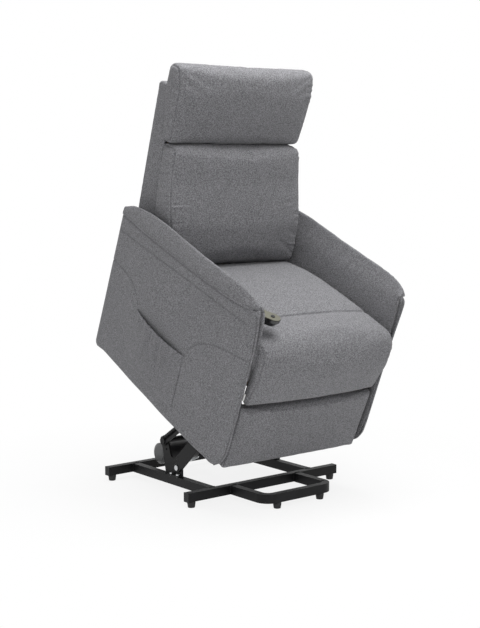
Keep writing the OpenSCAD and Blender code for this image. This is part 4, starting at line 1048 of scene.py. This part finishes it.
def shellSection(z, wall):
    # one level of the shell's outside, or of its inside when there is a wall
    seam, full = onSeam(z) + shellSeam["gap"], wall == 0
    ease = turnIn(shell["top"] - z, shell["edge"], shell["edge"])
    ease += turnIn(z - shell["low"], shell["edge"], shell["lowEdge"])
    width = shellHalf(z) - wall - ease / 3
    rear = shell["rear"] - (ease if full else 2 * wall)
    if wall and z > shell["top"] - shell["closed"]:
        rear = seam + 2
    corner = min(shell["corner"], (rear - seam) * 0.45)
    deep = rear - corner - seam
    half = [(width + shell["sideFull"] * sin(pi * k / 10) * full, seam + deep * k / 10)
            for k in range(11)]
    half += [(width - corner * (1 - cos(a)), rear - corner * (1 - sin(a)))
             for a in np.linspace(0.15, 1.42, 8)]
    half += [((width - corner) * (1 - k / 14), rear + shell["rearFull"] * sin(pi * k / 28) * full)
             for k in range(15)]
    return np.array([(-x, y, z) for x, y in half] + [(x, y, z) for x, y in reversed(half[:-1])])


shellFaces = [np.array([shellSection(z, wall) for z in shell["rows"]]) / 1000 for wall in (shell["wall"], 0)]
shellPiece = sheetPiece("backShell", *shellFaces)
for count, side in enumerate((-1, 1)):
    inside = cornerSeam["inside"]
    upright = np.array([[side * (shellHalf(z) - inside), shell["rear"] - inside, z]
                        for z in cornerSeam["heights"]]) / 1000
    finer(shellPiece, upright, cornerSeam["finer"])
    sewn(shellPiece, upright, *seamOf(cornerSeam), cornerSeam["seed"] + count)
hem = np.array([[x, shell["rear"] + hemSeam["outside"], hemSeam["up"]] for x in hemSeam["places"]]) / 1000
finer(shellPiece, hem, hemSeam["finer"])
sewn(shellPiece, hem, *seamOf(hemSeam), hemSeam["seed"])
dressed(shellPiece, *onBack, ["back_shell"])
print("back shell covered")

# weld beads over and beside each tube that meets another, in mm in the base's own frame
bead = {"radius": 2.3, "half": 12, "beside": 12.5, "low": 22, "high": 48, "top": 50, "steps": 24, "sides": 8,
        "meetings": [(-209.5, -218.5), (-209.5, 218.5), (209.5, -218.5), (209.5, 218.5), (-137.5, -243.5),
                     (137.5, -243.5)]}
joins = []
for x, y in bead["meetings"]:
    joins.append(((x - bead["half"], y, bead["top"]), (x + bead["half"], y, bead["top"])))
    for across in (x - bead["beside"], x + bead["beside"]):
        joins.append(((across, y, bead["low"]), (across, y, bead["high"])))
joined = bmesh.new()
steps = np.arange(bead["steps"])
shares = np.linspace(0, 1, bead["steps"])
for count, (a, b) in enumerate(joins):
    path = np.outer(1 - shares, a) + np.outer(shares, b)
    uneven = 0.85 + 0.15 * np.sin(steps * 1.9 + count)
    radii = bead["radius"] / 1000 * uneven * np.sin(np.clip(shares * 8, 0.35, pi / 2))
    one = tube(f"bead{count}", path / 1000, radii, bead["sides"])
    joined.from_mesh(one.data)
    bpy.data.objects.remove(one)
beadPiece = newPiece("weldBeads", [], [])
joined.to_mesh(beadPiece.data)
joined.free()
dressed(beadPiece, basePlace, "base", slot="black_steel", material="black_steel")
print("weld beads laid")

# finishes on what stays as it was built, and how far its edges are rounded in mm
edgeRound = {"black_steel": 1.4, "timber": 1.5, "zinc_steel": 0.5, "black_plastic": 1.2, "grey_plastic": 0.8,
             "black_rubber": 1.2, "white_plastic": 0.6, "olive_plastic": 0.4, "gloss_black_plastic": 0.5}
edgeFrom, sameWithin = 40, 0.02  # degrees, and mm between points that are one
slots = {part["node"]: part["material_slot"] for part in frame["record"]["subparts"]}
for node, solid in frame["nodes"].items():
    slotName = slots[node]
    solid.data.materials.clear()
    solid.data.materials.append(finishes["cloth" if slotName == "grey_fabric" else slotName])
    if slotName not in edgeRound:
        continue
    weld = solid.modifiers.new("weld", "WELD")
    weld.merge_threshold = sameWithin / 1000
    bevel = solid.modifiers.new("edges", "BEVEL")
    bevel.width, bevel.segments = edgeRound[slotName] / 1000, 2
    bevel.limit_method, bevel.angle_limit = "ANGLE", radians(edgeFrom)
    bevel.harden_normals = True
print("built parts finished")
